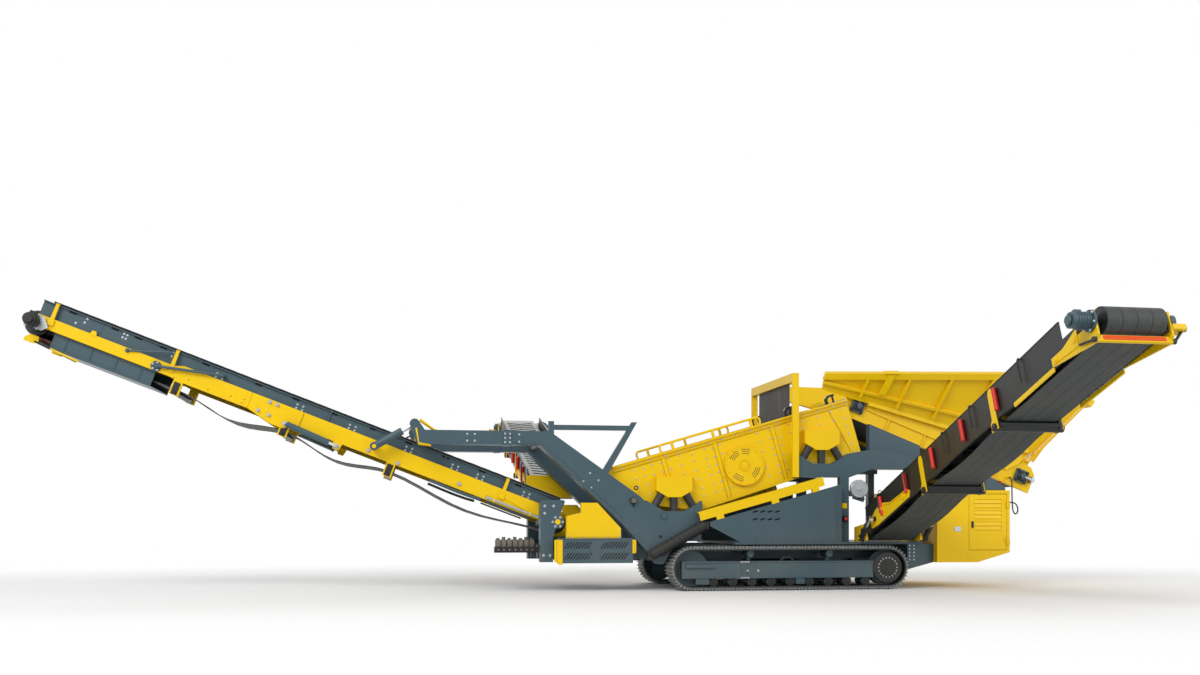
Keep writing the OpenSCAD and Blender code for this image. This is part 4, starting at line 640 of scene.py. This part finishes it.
trim = [bothSides(blockOf((2.66, -1.408, 1.665), (3.98, -1.398, 1.7), 0.003)),
        blockOf((3.21, -1.405, 0.47), (3.22, -1.399, 0.62), 0.002),
        blockOf((3.21, 1.399, 0.66), (3.22, 1.405, 1.66), 0.002),
        blockOf((2.9, 1.399, 0.95), (3.1, 1.407, 1.5), 0.003),
        row(blockOf((3.3, 1.399, 0.9), (3.85, 1.412, 0.99), 0.006), 4, (0, 0, 0.14))]
settle(trim, "cabinet_trim", "yellow")
eyes = [ringOf((x, 1.745), 0.03, 0.009, y) for x in cabinetLook["eyes"] for y in (-1.33, 1.33)]
settle(eyes, "cabinet_eyes", "zinc", smooth=True)
panel = plateOf([(3.56, 1.71), (3.94, 1.71), (3.94, 1.76), (3.62, 1.97), (3.56, 1.97)], -1.36, -1.02, 0.01)
settle([panel], "control_panel", "grey")
panelFace = plateOf([(3.615, 1.955), (3.63, 1.978), (3.915, 1.79), (3.9, 1.767)], -1.32, -1.06)
settle([panelFace], "control_face", "black")
facing = Vector(cabinetLook["facing"]).normalized()
foot = Vector(cabinetLook["knob"])
knob = barOf(foot, foot + facing * 0.03, 0.013, 12)
settle([row(knob, 5, (0.05, 0, -0.033))], "control_knobs", "zinc")
foot = Vector(cabinetLook["stop"])
cap = foot + facing * 0.03
stop = [barOf(foot, cap, 0.014, 12), barOf(cap, foot + facing * 0.055, 0.03, 20, 0.008)]
settle(stop, "control_stop", "red", smooth=True)
print("cabinet dressed")

# front conveyor's sides: straps, rubber strip, slots of painted shade and bolts on the skirts, pins, fold cylinders,
# lugs, struts, holes of painted shade
frontLook = {
    "beam": -0.779, "skirt": -0.709, "pinFace": -0.78, "boltFace": -0.71, "foldLine": -0.87,
    "slots": [8.379, 7.704, 7.327, 6.921, 6.214, 5.333, 4.7, 4.05, 3.4, 2.75, 2.1, 1.45, 0.8],
    "straps": [8.61, 6.672, 1.0], "seams": [7.9, 6.1, 3.45, 2.1], "clamps": 38, "pivot": (-6.898, 0.03),
    "jointPins": [(5.184, -0.042), (5.001, -0.053), (5.057, 0.15), (4.933, 0.15)],
    "foldPins": [(4.716, -0.091), (3.822, -0.133)], "bosses": [(3.319, -0.008), (2.797, -0.03), (1.734, 0.013)],
    "groups": [5.95, 4.6, 3.7, 2.716, 1.9, 1.45, 0.62],
    "headBolts": [(8.166, 0.272), (8.148, 0.34), (8.288, 0.215), (7.554, 0.271), (7.5, 0.267), (7.549, 0.335),
                  (7.495, 0.331), (6.75, 0.27), (6.747, 0.335)],
    "holes": {0.024: [(5.255, 0.15)], 0.01: [(6.584, -0.04), (6.361, 0.014), (6.029, -0.022), (5.662, 0.014),
                                             (5.47, -0.03), (5.447, 0.04)]},
    "lugs": [((-4.78, -0.07), (-4.64, -0.07), (-4.67, -0.15), (-4.75, -0.15)),
             ((-3.9, -0.06), (-3.74, -0.06), (-3.77, -0.19), (-3.87, -0.19))],
}
beam, skirt = frontLook["beam"], frontLook["skirt"]
pinFace, boltFace = frontLook["pinFace"], frontLook["boltFace"]
onBeam = {"matrix": onFront, "body": "front_conveyor"}


def pinsAt(spots, radius, face, length):  # collared pins at (run, rise)
    pin = joined([discOf(0, 0, face, face - length * 0.4, radius * 1.45, 24),
                  discOf(0, 0, face, face - length, radius, 20, 0.006)])
    return repeat(pin, [(-run, 0, rise) for run, rise in spots])


strap = joined([plateOf([(-0.035, 0.02), (0.035, 0.02), (0.026, 0.4), (-0.026, 0.4)], -0.797, beam),
                blockOf((-0.05, -0.81, 0.03), (0.05, beam, 0.13), 0.006),
                blockOf((-0.026, -0.797, 0.388), (0.026, -0.7, 0.402), 0.003)])
pair([upBelt(strap, frontLook["straps"])], "skirt_straps", "yellow", **onBeam)
# the skirts' slots as thin dark blocks of painted shade
slot = blockOf((-0.06, -0.7145, 0.335), (0.06, skirt, 0.366), 0.002)
pair([upBelt(slot, frontLook["slots"])], "skirt_slot_shade", "gap", **onBeam)
strip = [plateOf([(-8.7, 0.33), (-0.05, 0.33), (-0.05, 0.41), (-8.7, 0.41)], -0.694, -0.682, 0.003),
         plateOf([(-8.7, 0.404), (-0.05, 0.404), (-0.05, 0.418), (-8.7, 0.418)], -0.735, -0.682, 0.003)]
pair(strip, "skirt_rubber", "belt", **onBeam)
clampPlate = blockOf((-0.37, boltFace - 0.012, 0.415), (-0.23, boltFace + 0.012, 0.422), 0.003)
pair([row(clampPlate, frontLook["clamps"], (-0.22, 0, 0))], "skirt_clamps", "zinc", **onBeam)
boltPlaces = [place for run in frontLook["groups"] for place in cornerPlaces((-run, 0.25), 0.05, 0.03, boltFace)]
boltPlaces += [(-run, boltFace, rise) for run, rise in frontLook["headBolts"]]
pair([boltsAt(0.012, 0.012, boltPlaces)], "skirt_bolts", "zinc", **onBeam)
seam = blockOf((-0.02, -0.716, 0.2), (0.02, skirt, 0.366), 0.002)
seams = [upBelt(seam, frontLook["seams"]), blockOf((-4.115, -0.742, 0.2), (-4.085, skirt, 0.4))]
pair(seams, "skirt_seams", "grey", **onBeam)

pins = [pinsAt(frontLook["jointPins"], 0.022, -0.797, 0.045), pinsAt(frontLook["foldPins"], 0.028, pinFace, 0.15),
        pinsAt(frontLook["bosses"], 0.024, pinFace, 0.04)]
pair(pins, "beam_pins", "zinc", smooth=True, **onBeam)
fold = frontLook["foldLine"]
barrels = [barOf((-4.68, fold, -0.093), (-3.97, fold, -0.126), 0.05, 24, 0.008),
           barOf((-3.99, fold, -0.125), (-3.95, fold, -0.127), 0.056, 24, 0.006)]
pair(barrels, "fold_barrels", "grey", smooth=True, **onBeam)
rod = barOf((-3.96, fold, -0.126), (-3.83, fold, -0.132), 0.026, 20, 0.003)
pair([rod], "fold_rods", "chrome", smooth=True, **onBeam)
lugs = [plateOf(outline, -0.83, beam) for outline in frontLook["lugs"]]
lugs += [plateOf([(-8.02, 0.12), (-7.9, 0.12), (-7.93, 0.2), (-7.99, 0.2)], -0.79, -0.76),
         plateOf([(-1.07, 0.19), (-1.07, 0.08), (-0.26, -0.06), (-0.26, 0.19)], -0.795, beam),
         upBelt(blockOf((-0.03, -0.81, -0.07), (0.03, beam, 0.195)), (5.39, 4.53))]
pair(lugs, "beam_lugs", "yellow", **onBeam)
# the beam's holes as dark discs of painted shade
holes = [repeat(discOf(0, 0, -0.777, -0.7815, radius), [(-run, 0, rise) for run, rise in spots])
         for radius, spots in frontLook["holes"].items()]
pair(holes, "beam_hole_shade", "gap", **onBeam)
x, z = frontLook["pivot"]
struts = [discOf(x, z, pinFace, -0.8, 0.085, 32, 0.005), discOf(x, z, -0.8, -0.825, 0.034, 24, 0.006),
          barOf((x, -0.835, z), (-5.88, -0.835, 0.275), 0.022),
          barOf((-7.391, -0.8, 0.1), (-6.73, -0.8, 0.33), 0.015, 12),
          pinsAt([(7.391, 0.1)], 0.024, pinFace, 0.04), pinsAt([(5.88, 0.275)], 0.024, boltFace, 0.15)]
pair(struts, "skirt_struts", "grey", **onBeam)
pivotBolts = boltsAt(0.011, 0.014, circlePlaces(frontLook["pivot"], 0.062, 5, -0.8, 90))
pair([pivotBolts], "skirt_pivot_bolts", "zinc", **onBeam)
print("front conveyor sides dressed")

# front conveyor's drive: motor ribs, bearing bolts, head scraper, roller brackets, pipes, guard flanges
driveLook = {"brackets": [2.9, 4.7, 6.5], "scraper": (-8.72, -0.262), "scraperArm": -0.754,
             "tension": (-0.812, -0.03)}
rib = discOf(-frontLength, 0, -0.86, -0.875, 0.108, 32)
motor = [row(rib, 6, (0, -0.03, 0)), discOf(-frontLength, 0, -1.08, -1.12, 0.07, 24, 0.012),
         blockOf((-frontLength - 0.05, -1.0, 0.09), (-frontLength + 0.05, -0.9, 0.14), 0.008)]
settle(motor, "front_motor_ribs", "black", smooth=True, **onBeam)
bearingBolts = boltsAt(0.02, 0.022, cornerPlaces((-frontLength, 0), 0.085, 0.085, -0.84))
pair([bearingBolts], "front_bearing_bolts", "zinc", **onBeam)
arm = plateOf([(-8.9, -0.33), (-8.9, -0.27), (-8.83, -0.2), (-8.7, -0.2), (-8.68, -0.28), (-8.74, -0.33)], -0.764,
              -0.744)
line = driveLook["scraperArm"]
guardBar = barOf((-8.5, line, -0.312), (-8.02, line, -0.346), 0.016, 12)
settle([bothSides(arm), guardBar], "front_scraper_arms", "yellow", **onBeam)
motorPlate = plateOf([(-8.95, 0.05), (-8.85, 0.14), (-8.7, 0.11), (-8.6, -0.02), (-8.68, -0.1), (-8.9, -0.1)],
                     -0.852, -0.838)
settle([motorPlate], "front_motor_plate", "zinc", **onBeam)
x, z = driveLook["scraper"]
ends = joined([barOf((-8.74, line, -0.29), (-8.48, line, -0.314), 0.018, 12),
               discOf(x, z, -0.745, -0.71, 0.05, 20)])
settle([discOf(x, z, -0.73, 0.73, 0.03), bothSides(ends)], "front_scraper", "black", **onBeam)
blade = blockOf((-8.74, -0.58, -0.25), (x, -0.4, -0.206), 0.003)
settle([row(blade, 5, (0, 0.2, 0))], "front_scraper_blades", "orange", **onBeam)
bracket = joined([blockOf((-0.05, -0.795, -0.29), (0.05, beam, -0.09)),
                  discOf(0, -0.253, -0.795, -0.815, 0.026, 6)])
pair([upBelt(bracket, driveLook["brackets"])], "roller_brackets", "black", **onBeam)
bends = ((-2.209, -0.105), (-2.1, -0.11), (-1.5, -0.115), (-1.321, -0.1))
pipes = [tubeOf([(x, -0.795, z) for x, z in bends], 0.024),
         barOf((-1.206, -0.755, -0.095), (-0.426, -0.755, -0.095), 0.014, 12)]
pair(pipes, "beam_pipes", "grey", smooth=True, **onBeam)
ends = (((-1.249, -0.265), 0.02, 16), ((-1.249, -1.2), 0.028, 6), ((-0.33, -0.28), 0.028, 6))
rods = [barOf((start, *driveLook["tension"]), (end, *driveLook["tension"]), *size) for (start, end), *size in ends]
pair(rods, "tension_rods", "zinc", **onBeam)
clip = blockOf((-0.02, -0.83, -0.06), (0.02, beam, 0.0))
pair([upBelt(clip, (1.1, 0.45))], "tension_clips", "yellow", **onBeam)
flanges = [blockOf((-8.512, -0.728, -0.3), (-6.892, skirt, -0.27), 0.003),
           blockOf((-8.512, -0.728, -0.075), (-6.892, skirt, -0.05), 0.003),
           upBelt(blockOf((0, -0.722, -0.28), (0.015, skirt, -0.06), 0.003), (8.3, 7.9, 7.5, 7.1))]
pair(flanges, "guard_flanges", "grey", **onBeam)
print("front conveyor drive dressed")

# side conveyors, dressed alike in their own frames: roller guards, brackets, stays, head drive, scraper
sideLook = {
    "shares": (0.34, 0.66), "return": -0.223, "stays": (0.8, 1.9, 3.3, 4.2, 5.6),
    "bracket": [(-0.07, -0.27), (0.1, -0.27), (0.1, -0.16), (0.05, -0.1), (0.05, 0.26), (0.02, 0.33),
                (-0.04, 0.33), (-0.07, 0.26)],
    "arm": [(-0.36, -0.1), (-0.36, 0.06), (-0.6, 0.15), (-0.9, 0.16), (-1.2, 0.06), (-1.86, 0.03), (-1.95, -0.03),
            (-1.9, -0.12), (-0.6, -0.125)],
    "armRib": [(-0.98, 0.115), (-1.2, 0.045), (-1.84, 0.012), (-1.84, -0.004), (-1.19, 0.03), (-0.97, 0.1)],
    "scoop": [(0.3, 0.06), (0.62, -0.03), (0.86, -0.03), (0.86, -0.12), (0.3, -0.16)],
    "scoopPins": ((0.36, -0.06), (0.78, -0.08)), "scraper": (-0.02, -0.25),
}


def dressSide(name, length, place):
    body = name + "_conveyor"
    parts = {"matrix": place, "body": body}
    runs = [share * length for share in sideLook["shares"]]
    drop = sideLook["return"]
    guard = joined([arcOf((0, drop), 0.053, 0.012, 185, 170, -0.5, 0.5, 12),
                    bothSides(discOf(0, drop, -0.47, -0.51, 0.05, 20, 0.006)),
                    plateOf([(-0.1, -0.2), (-0.06, -0.2), (-0.06, -0.245), (-0.075, -0.245)], -0.45, 0.45, 0.003)])
    settle([upBelt(guard, runs)], name + "_roller_guards", "black", smooth=True, **parts)
    bracket = joined([bothSides(plateOf(sideLook["bracket"], -0.482, -0.462)),
                      discOf(0.02, -0.07, -0.45, 0.45, 0.03)])
    arm = joined([blockOf((-length + 0.9, -0.482, -0.19), (-length + 1.9, -0.458, -0.13)),
                  plateOf(sideLook["arm"], -0.486, -0.461), discOf(-0.86, 0.06, -0.48, -0.515, 0.04, 20, 0.006),
                  discOf(-1.72, -0.045, -0.48, -0.512, 0.045, 20, 0.006), plateOf(sideLook["armRib"], -0.505, -0.484)])
    settle([upBelt(bracket, runs), bothSides(arm)], name + "_brackets", "yellow", **parts)
    stay = bothSides(tubeOf([(0, -0.478, 0.36), (0, -0.5, 0.33), (0, -0.508, 0.2), (0, -0.5, 0.02)], 0.012))
    settle([upBelt(stay, sideLook["stays"])], name + "_skirt_stays", "black", smooth=True, **parts)
    edge = blockOf((-length + 0.65, -0.466, 0.345), (-0.15, -0.438, 0.36), 0.003)
    pair([edge], name + "_skirt_edges", "black", **parts)
    dressHead(name, {"matrix": place @ spot(-length, 0, 0), "body": body})


def dressHead(name, parts):  # x from the head drum
    rib = discOf(0, 0, 0.53, 0.545, 0.106, 32)
    motor = [row(rib, 5, (0, 0.035, 0)), discOf(0, 0, 0.75, 0.79, 0.065, 24, 0.012),
             blockOf((-0.04, 0.6, 0.08), (0.04, 0.7, 0.13), 0.006), discOf(0, 0, -0.544, -0.575, 0.05, 20, 0.008)]
    settle(motor, name + "_motor_ribs", "grey", smooth=True, **parts)
    bolts = [boltsAt(0.014, 0.016, circlePlaces((0, 0), 0.115, 6, 0.514, 30), (0, 1, 0)),
             boltsAt(0.014, 0.016, circlePlaces((0, 0), 0.075, 4, -0.544, 45))]
    settle(bolts, name + "_motor_bolts", "zinc", **parts)
    blade = plateOf([(-0.04, -0.2), (-0.02, -0.2), (0.02, -0.262), (-0.05, -0.262)], -0.4, 0.4)
    settle([blade], name + "_scraper_blade", "orange", **parts)
    x, z = sideLook["scraper"]
    arms = [discOf(x, z, -0.48, -0.53, 0.034, 20, 0.006), barOf((x, -0.51, z), (0.26, -0.51, -0.17), 0.016, 12)]
    pair(arms, name + "_scraper_arms", "black", **parts)
    scoop = [discOf(run, rise, -0.49, -0.515, 0.034, 20, 0.006) for run, rise in sideLook["scoopPins"]]
    scoop.append(plateOf(sideLook["scoop"], -0.5, -0.48))
    brackets = [bothSides(joined(scoop)), discOf(x, z - 0.012, -0.484, 0.484, 0.024),
                plateOf([(-0.1, -0.13), (-0.1, -0.05), (0.04, -0.05), (0.06, -0.13)], -0.66, -0.484, 0.01)]
    settle(brackets, name + "_head_brackets", "yellow", **parts)
    link = [barOf((x, -0.52, z), (-0.04, -0.64, -0.1), 0.018, 12),
            discOf(-0.04, -0.09, -0.6, -0.68, 0.04, 16, 0.008)]
    settle(link, name + "_scraper_link", "black", **parts)


dressSide("near", nearLength, onNear)
dressSide("far", farLength, onFar)

# chevron cleats on the far belt, in dark rubber on the pale belt
chevronLook = {"pitch": 0.24, "height": 0.016, "lean": -28, "belt": 0.174}
top = chevronLook["height"]
ridge = plateOf([(0, 0), (0.03, 0), (0.025, top), (0.005, top)], -0.32, 0.02, 0.003)
ridge.data.transform(spot(-0.3, 0, chevronLook["belt"]) @ tilt(chevronLook["lean"], "Z"))
rows = int((farLength - 0.5) / chevronLook["pitch"])
cleats = row(bothSides(ridge), rows, (-chevronLook["pitch"], 0, 0))
settle([cleats], "far_belt_cleats", "sideBelt", matrix=onFar, body="far_conveyor")
print("side conveyors dressed")

# gantry: bolt groups, joint flanges, tip guards, edge strips, work lamps, ribbed braces to the feet
gantryLook = {
    "face": -1.15,
    "bolts": [(-5.455, 2.6), (-5.33, 2.6), (-5.455, 2.49), (-5.33, 2.49), (-4.6, 2.6), (-4.6, 2.48),
              (-3.415, 1.971), (-3.274, 1.852), (-3.528, 1.836), (-3.395, 1.726), (-1.6, 1.02), (-1.6, 0.92)],
    "flange": (-4.853, -4.733), "flangeColumns": (-4.834, -4.752), "flangeRows": (2.61, 2.54, 2.47),
    "strip": [(-4.74, 2.455), (-4.2, 2.455), (-2.83, 1.21), (-2.84, 1.2), (-4.205, 2.443), (-4.74, 2.443)],
    "upperTip": [(-6.232, 2.82), (-6.205, 2.842), (-5.985, 2.676), (-5.955, 2.676), (-5.955, 2.66), (-5.99, 2.66)],
    "lowerTip": [(-6.295, 2.69), (-6.265, 2.69), (-6.232, 2.452), (-6.04, 2.42), (-6.04, 2.4), (-6.246, 2.43)],
    "tipDepth": (-1.156, -1.074), "tipGap": 0.232, "plug": (-2.148, 1.254), "hole": (-2.211, 0.909),
    "braceFoot": (-2.392, -1.25, 0.595), "braceTop": (-1.468, -1.25, 1.1), "ribs": 9,
    "eyes": [(-1.526, 1.405), (-2.62, 1.73)],
}
face, plateFace = gantryLook["face"], gantryLook["face"] - 0.014
boltPlaces = [(x, face, z) for x, z in gantryLook["bolts"]]
boltPlaces += [(x, plateFace, z) for x in gantryLook["flangeColumns"] for z in gantryLook["flangeRows"]]
pair([boltsAt(0.012, 0.013, boltPlaces)], "girder_bolts", "zinc")
low, high = gantryLook["flange"]
flanges = [blockOf((low, plateFace, 2.42), (high, -0.838, 2.675)),
           plateOf(gantryLook["strip"], face - 0.008, face + 0.002, 0.002),
           discOf(*gantryLook["plug"], face + 0.002, face - 0.03, 0.055, 24, 0.008),
           blockOf((-3.35, face - 0.006, 1.98), (-3.3, face + 0.002, 2.03), 0.003),
           blockOf((-2.06, face - 0.02, 0.83), (-1.48, face + 0.01, 0.852))]
pair(flanges, "girder_flanges", "grey")
tip = joined([plateOf(gantryLook[edge], *gantryLook["tipDepth"]) for edge in ("upperTip", "lowerTip")])
pair([row(tip, 2, (0, gantryLook["tipGap"], 0))], "tip_guards", "yellow")
lampBody = [blockOf((-2.73, -1.215, 1.47), (-2.63, -1.148, 1.56), 0.012),
            barOf((-2.68, -1.2, 1.47), (-2.68, -1.16, 1.42), 0.016, 12),
            discOf(*gantryLook["hole"], face + 0.002, face - 0.004, 0.032, 20, 0.001)]
pair(lampBody, "work_lamps", "black")
pair([blockOf((-2.722, -1.219, 1.478), (-2.638, -1.213, 1.552), 0.002)], "work_lamp_lenses", "deck")
foot = Vector(gantryLook["braceFoot"])
run = Vector(gantryLook["braceTop"]) - foot
rib = barOf(foot + run * 0.14, foot + run * 0.17, 0.099, 28, 0.005)
brace = [barOf(foot, foot + run, 0.09, 28, 0.012), row(rib, gantryLook["ribs"], run * 0.09),
         blockOf((-2.46, -1.3, 0.51), (-2.34, -1.148, 0.66), 0.012),
         blockOf((-1.53, -1.3, 1.03), (-1.4, -1.148, 1.16), 0.012)]
pair(brace, "foot_braces", "black", smooth=True)
pair([ringOf(eye, 0.03, 0.01, -1.1) for eye in gantryLook["eyes"]], "gantry_eyes", "black", smooth=True)
print("gantry dressed")

# housing: painted shade on the slot floors, rims, corner hinges, hood bolts and folds, post bolts, valve bank
housingLook = {
    "floor": -1.245, "groups": (0.110, 0.730), "rows": (0.28, 0.72), "front": -3.933, "bottom": 0.47, "height": 0.415,
    "slotStep": 0.048, "slotHalf": (0.0105, 0.0545), "slotLean": 0.11 * math.tan(math.radians(35)) / 2,
    "hinge": [(-4.03, 0.86), (-3.89, 0.86), (-3.89, 0.45), (-3.96, 0.45), (-4.03, 0.52)], "post": -1.1,
    "postBolts": [(-4.17, 1.42), (-4.02, 1.42), (-4.17, 1.3), (-4.19, 0.6), (-4.08, 0.6)], "pivot": (-3.95, 1.157),
    "spools": [-4.92 + 0.095 * k for k in range(7)],
}


def slotShadeStrip(outline, floor):  # a strip of painted shade on the floor of a slot
    return plateOf(outline, floor - 0.003, floor + 0.002, 0)


# painted shade in the housing's slots
lean, (half, rise) = housingLook["slotLean"], housingLook["slotHalf"]
slot = slotShadeStrip([(-lean - half, -rise), (half - lean, -rise), (lean + half, rise), (lean - half, rise)],
                 housingLook["floor"])
slotPlaces = [(housingLook["front"] + group + housingLook["slotStep"] * k, 0,
               housingLook["bottom"] + share * housingLook["height"])
              for group in housingLook["groups"] for share in housingLook["rows"] for k in range(9)]
pair([repeat(slot, slotPlaces)], "housing_slot_shade", "gap")
rims = [blockOf((-3.9, -1.256, low), (-2.73, -1.248, high), 0.003) for low, high in ((0.862, 0.885), (0.47, 0.49))]
rims.append(along(blockOf((0, -1.255, 0.5), (0.015, -1.248, 0.85), 0.002), (-3.44, -3.26)))
pair(rims, "housing_rims", "grey")
hinges = [plateOf(housingLook["hinge"], -1.27, -1.245, 0.008),
          barOf((-4.01, -1.272, 0.5), (-4.01, -1.272, 0.84), 0.022),
          blockOf((-2.715, -1.27, 0.63), (-2.655, -1.245, 0.86), 0.006),
          barOf((-2.67, -1.272, 0.65), (-2.67, -1.272, 0.84), 0.018)]
pair(hinges, "housing_hinges", "yellow")
post = housingLook["post"]
bolts = [boltsAt(0.012, 0.012, [(-3.77 + 0.215 * k, -1.2, 0.915) for k in range(5)]),
         boltsAt(0.016, 0.016, [(x, post, z) for x, z in housingLook["postBolts"]]),
         boltsAt(0.014, 0.014, circlePlaces(housingLook["pivot"], 0.085, 6, post))]
pair(bolts, "housing_bolts", "zinc")
pair([plateOf([(-3.8, 0.9), (-2.93, 0.9), (-2.93, 0.93), (-3.8, 0.93)], -1.206, -1.198, 0.002)], "hood_folds",
     "yellow")
bank = [blockOf((-4.98, -0.84, 0.64), (-4.19, -0.66, 0.74), 0.008),
        blockOf((-4.26, -0.85, 0.55), (-4.19, -0.65, 0.772), 0.006)]
settle(bank, "valve_bank", "black")
spool = joined([blockOf((-0.042, -0.83, 0.735), (0.042, -0.67, 0.86), 0.006),
                discOf(0, 0.78, -0.82, -0.875, 0.022, 6), discOf(0, 0.69, -0.84, -0.89, 0.02, 6)])
spools = [along(spool, housingLook["spools"])]
for first, top in ((0, 0.885), (1, 0.905)):  # every other cap stands higher
    cap = barOf((0, -0.75, 0.85), (0, -0.75, top), 0.03)
    spools.append(along(cap, housingLook["spools"][first::2]))
settle(spools, "valve_spools", "deck")
print("housing dressed")

# side panels: painted shade on the slot floors, edge bolts, an upright fold
panelLook = {"toe": -0.86, "deck": 0.812, "step": 0.13, "slope": -15.47, "floor": -1.28, "face": -1.3}
# painted shade in the side panels' slots
slot = slotShadeStrip([(-0.044, -0.0125), (0.044, -0.0125), (0.044, 0.0125), (-0.044, 0.0125)], panelLook["floor"])
slot.data.transform(tilt(panelLook["slope"]))
slotPlaces = [(panelLook["toe"] + panelLook["step"] * (column + 2), 0,
               panelLook["deck"] + panelLook["step"] * (4 - course))
              for column in range(4) for course in range(2)]
pair([repeat(slot, slotPlaces)], "panel_slots", "gap")
face = panelLook["face"]
boltPlaces = [(0.9, face, 0.9 + 0.2 * k) for k in range(5)] + [(-0.6 + 0.3 * k, face, 0.845) for k in range(6)]
pair([boltsAt(0.011, 0.012, boltPlaces)], "panel_bolts", "grey")
pair([blockOf((0.84, -1.306, 0.83), (0.852, -1.299, 1.77), 0.002)], "panel_folds", "grey")

# rear columns: button box, hose reel on a bracket
columnLook = {"button": (1.05, 1.21), "reel": (1.306, 1.727),
              "holder": [(1.2, 1.56), (1.4, 1.5), (1.43, 1.56), (1.36, 1.68), (1.2, 1.7)]}
settle([blockOf((1.0, -1.162, 1.39), (1.09, -1.149, 1.48), 0.003)], "column_plate", "yellow")
settle([blockOf((1.01, -1.2, 1.16), (1.09, -1.149, 1.26), 0.008)], "column_box", "black")
button = columnLook["button"]
buttonParts = [discOf(*button, -1.2, -1.212, 0.016, 16, 0.002), discOf(*button, -1.21, -1.226, 0.028, 20, 0.006)]
settle(buttonParts, "column_button", "red", smooth=True)
reel = columnLook["reel"]
reelParts = [discOf(*reel, -1.12, -1.2, 0.16, 40, 0.012), ringOf(reel, 0.135, 0.008, -1.2),
             discOf(*reel, -1.195, -1.215, 0.03, 20, 0.005)]
settle(reelParts, "hose_reel", "zinc", smooth=True)
holder = [blockOf((1.12, -1.13, 1.6), (1.34, -1.1, 1.7), 0.006), plateOf(columnLook["holder"], -1.135, -1.115)]
settle(holder, "reel_holder", "grey")
print("panels dressed")

# tracks: drive cover with its bolt ring, roller ends, frame bolts, edge flanges, shields, guides
trackLook = {
    "drive": (1.725, 0.375), "ring": 0.168, "roller": (-1.35, 0.148), "rollerStep": 0.3375, "frame": -1.4,
    "guide": [(-0.2, 0.493), (-0.13, 0.57), (0.0, 0.57), (0.07, 0.493), (0.04, 0.493), (-0.02, 0.545),
              (-0.11, 0.545), (-0.17, 0.493)],
}
drive, roller = trackLook["drive"], trackLook["roller"]
rollerEnd = joined([discOf(*roller, -1.358, -1.372, 0.066, 24, 0.006), discOf(*roller, -1.37, -1.384, 0.026)])
covers = [discOf(*drive, -1.405, -1.418, 0.262, 48, 0.005), discOf(*drive, -1.415, -1.43, 0.1, 32, 0.006),
          discOf(*drive, -1.428, -1.44, 0.05, 24, 0.006), row(rollerEnd, 9, (trackLook["rollerStep"], 0, 0))]
pair(covers, "track_covers", "black", smooth=True)
face = trackLook["frame"]
heads = [boltsAt(0.0085, 0.012, circlePlaces(drive, trackLook["ring"], 18, -1.418)),
         boltsAt(0.014, 0.014, [(-0.767, face, 0.335), (-0.581, face, 0.335)]),
         boltsAt(0.011, 0.012, [(-0.875 + 0.04 * k, face - 0.01, z) for k in range(4) for z in (0.481, 0.215)])]
pair(heads, "track_bolts", "zinc")
flanges = [blockOf((-1.86, face - 0.012, 0.468), (1.46, face + 0.002, 0.494)),
           blockOf((-0.88, face - 0.01, 0.215), (-0.855, face + 0.002, 0.47), 0.003),
           blockOf((-0.777, face - 0.01, 0.215), (-0.762, face + 0.002, 0.47), 0.003),
           blockOf((-1.86, face - 0.01, 0.206), (1.46, face + 0.002, 0.224))]
pair(flanges, "track_flanges", "grey")
shields = [blockOf((start, -1.39, 0.1), (end, -1.33, 0.21), 0.006) for start, end in ((-1.66, -1.43), (0.09, 0.25))]
pair(shields, "track_shields", "grey")
pair([plateOf(trackLook["guide"], -1.39, -1.35)], "track_guides", "black")
pair([boltsAt(0.01, 0.012, [(x, -1.25, 0.5 + 0.062 * k) for x in (2.2, 2.28) for k in range(5)])], "tail_bolts",
     "zinc")
print("tracks dressed")
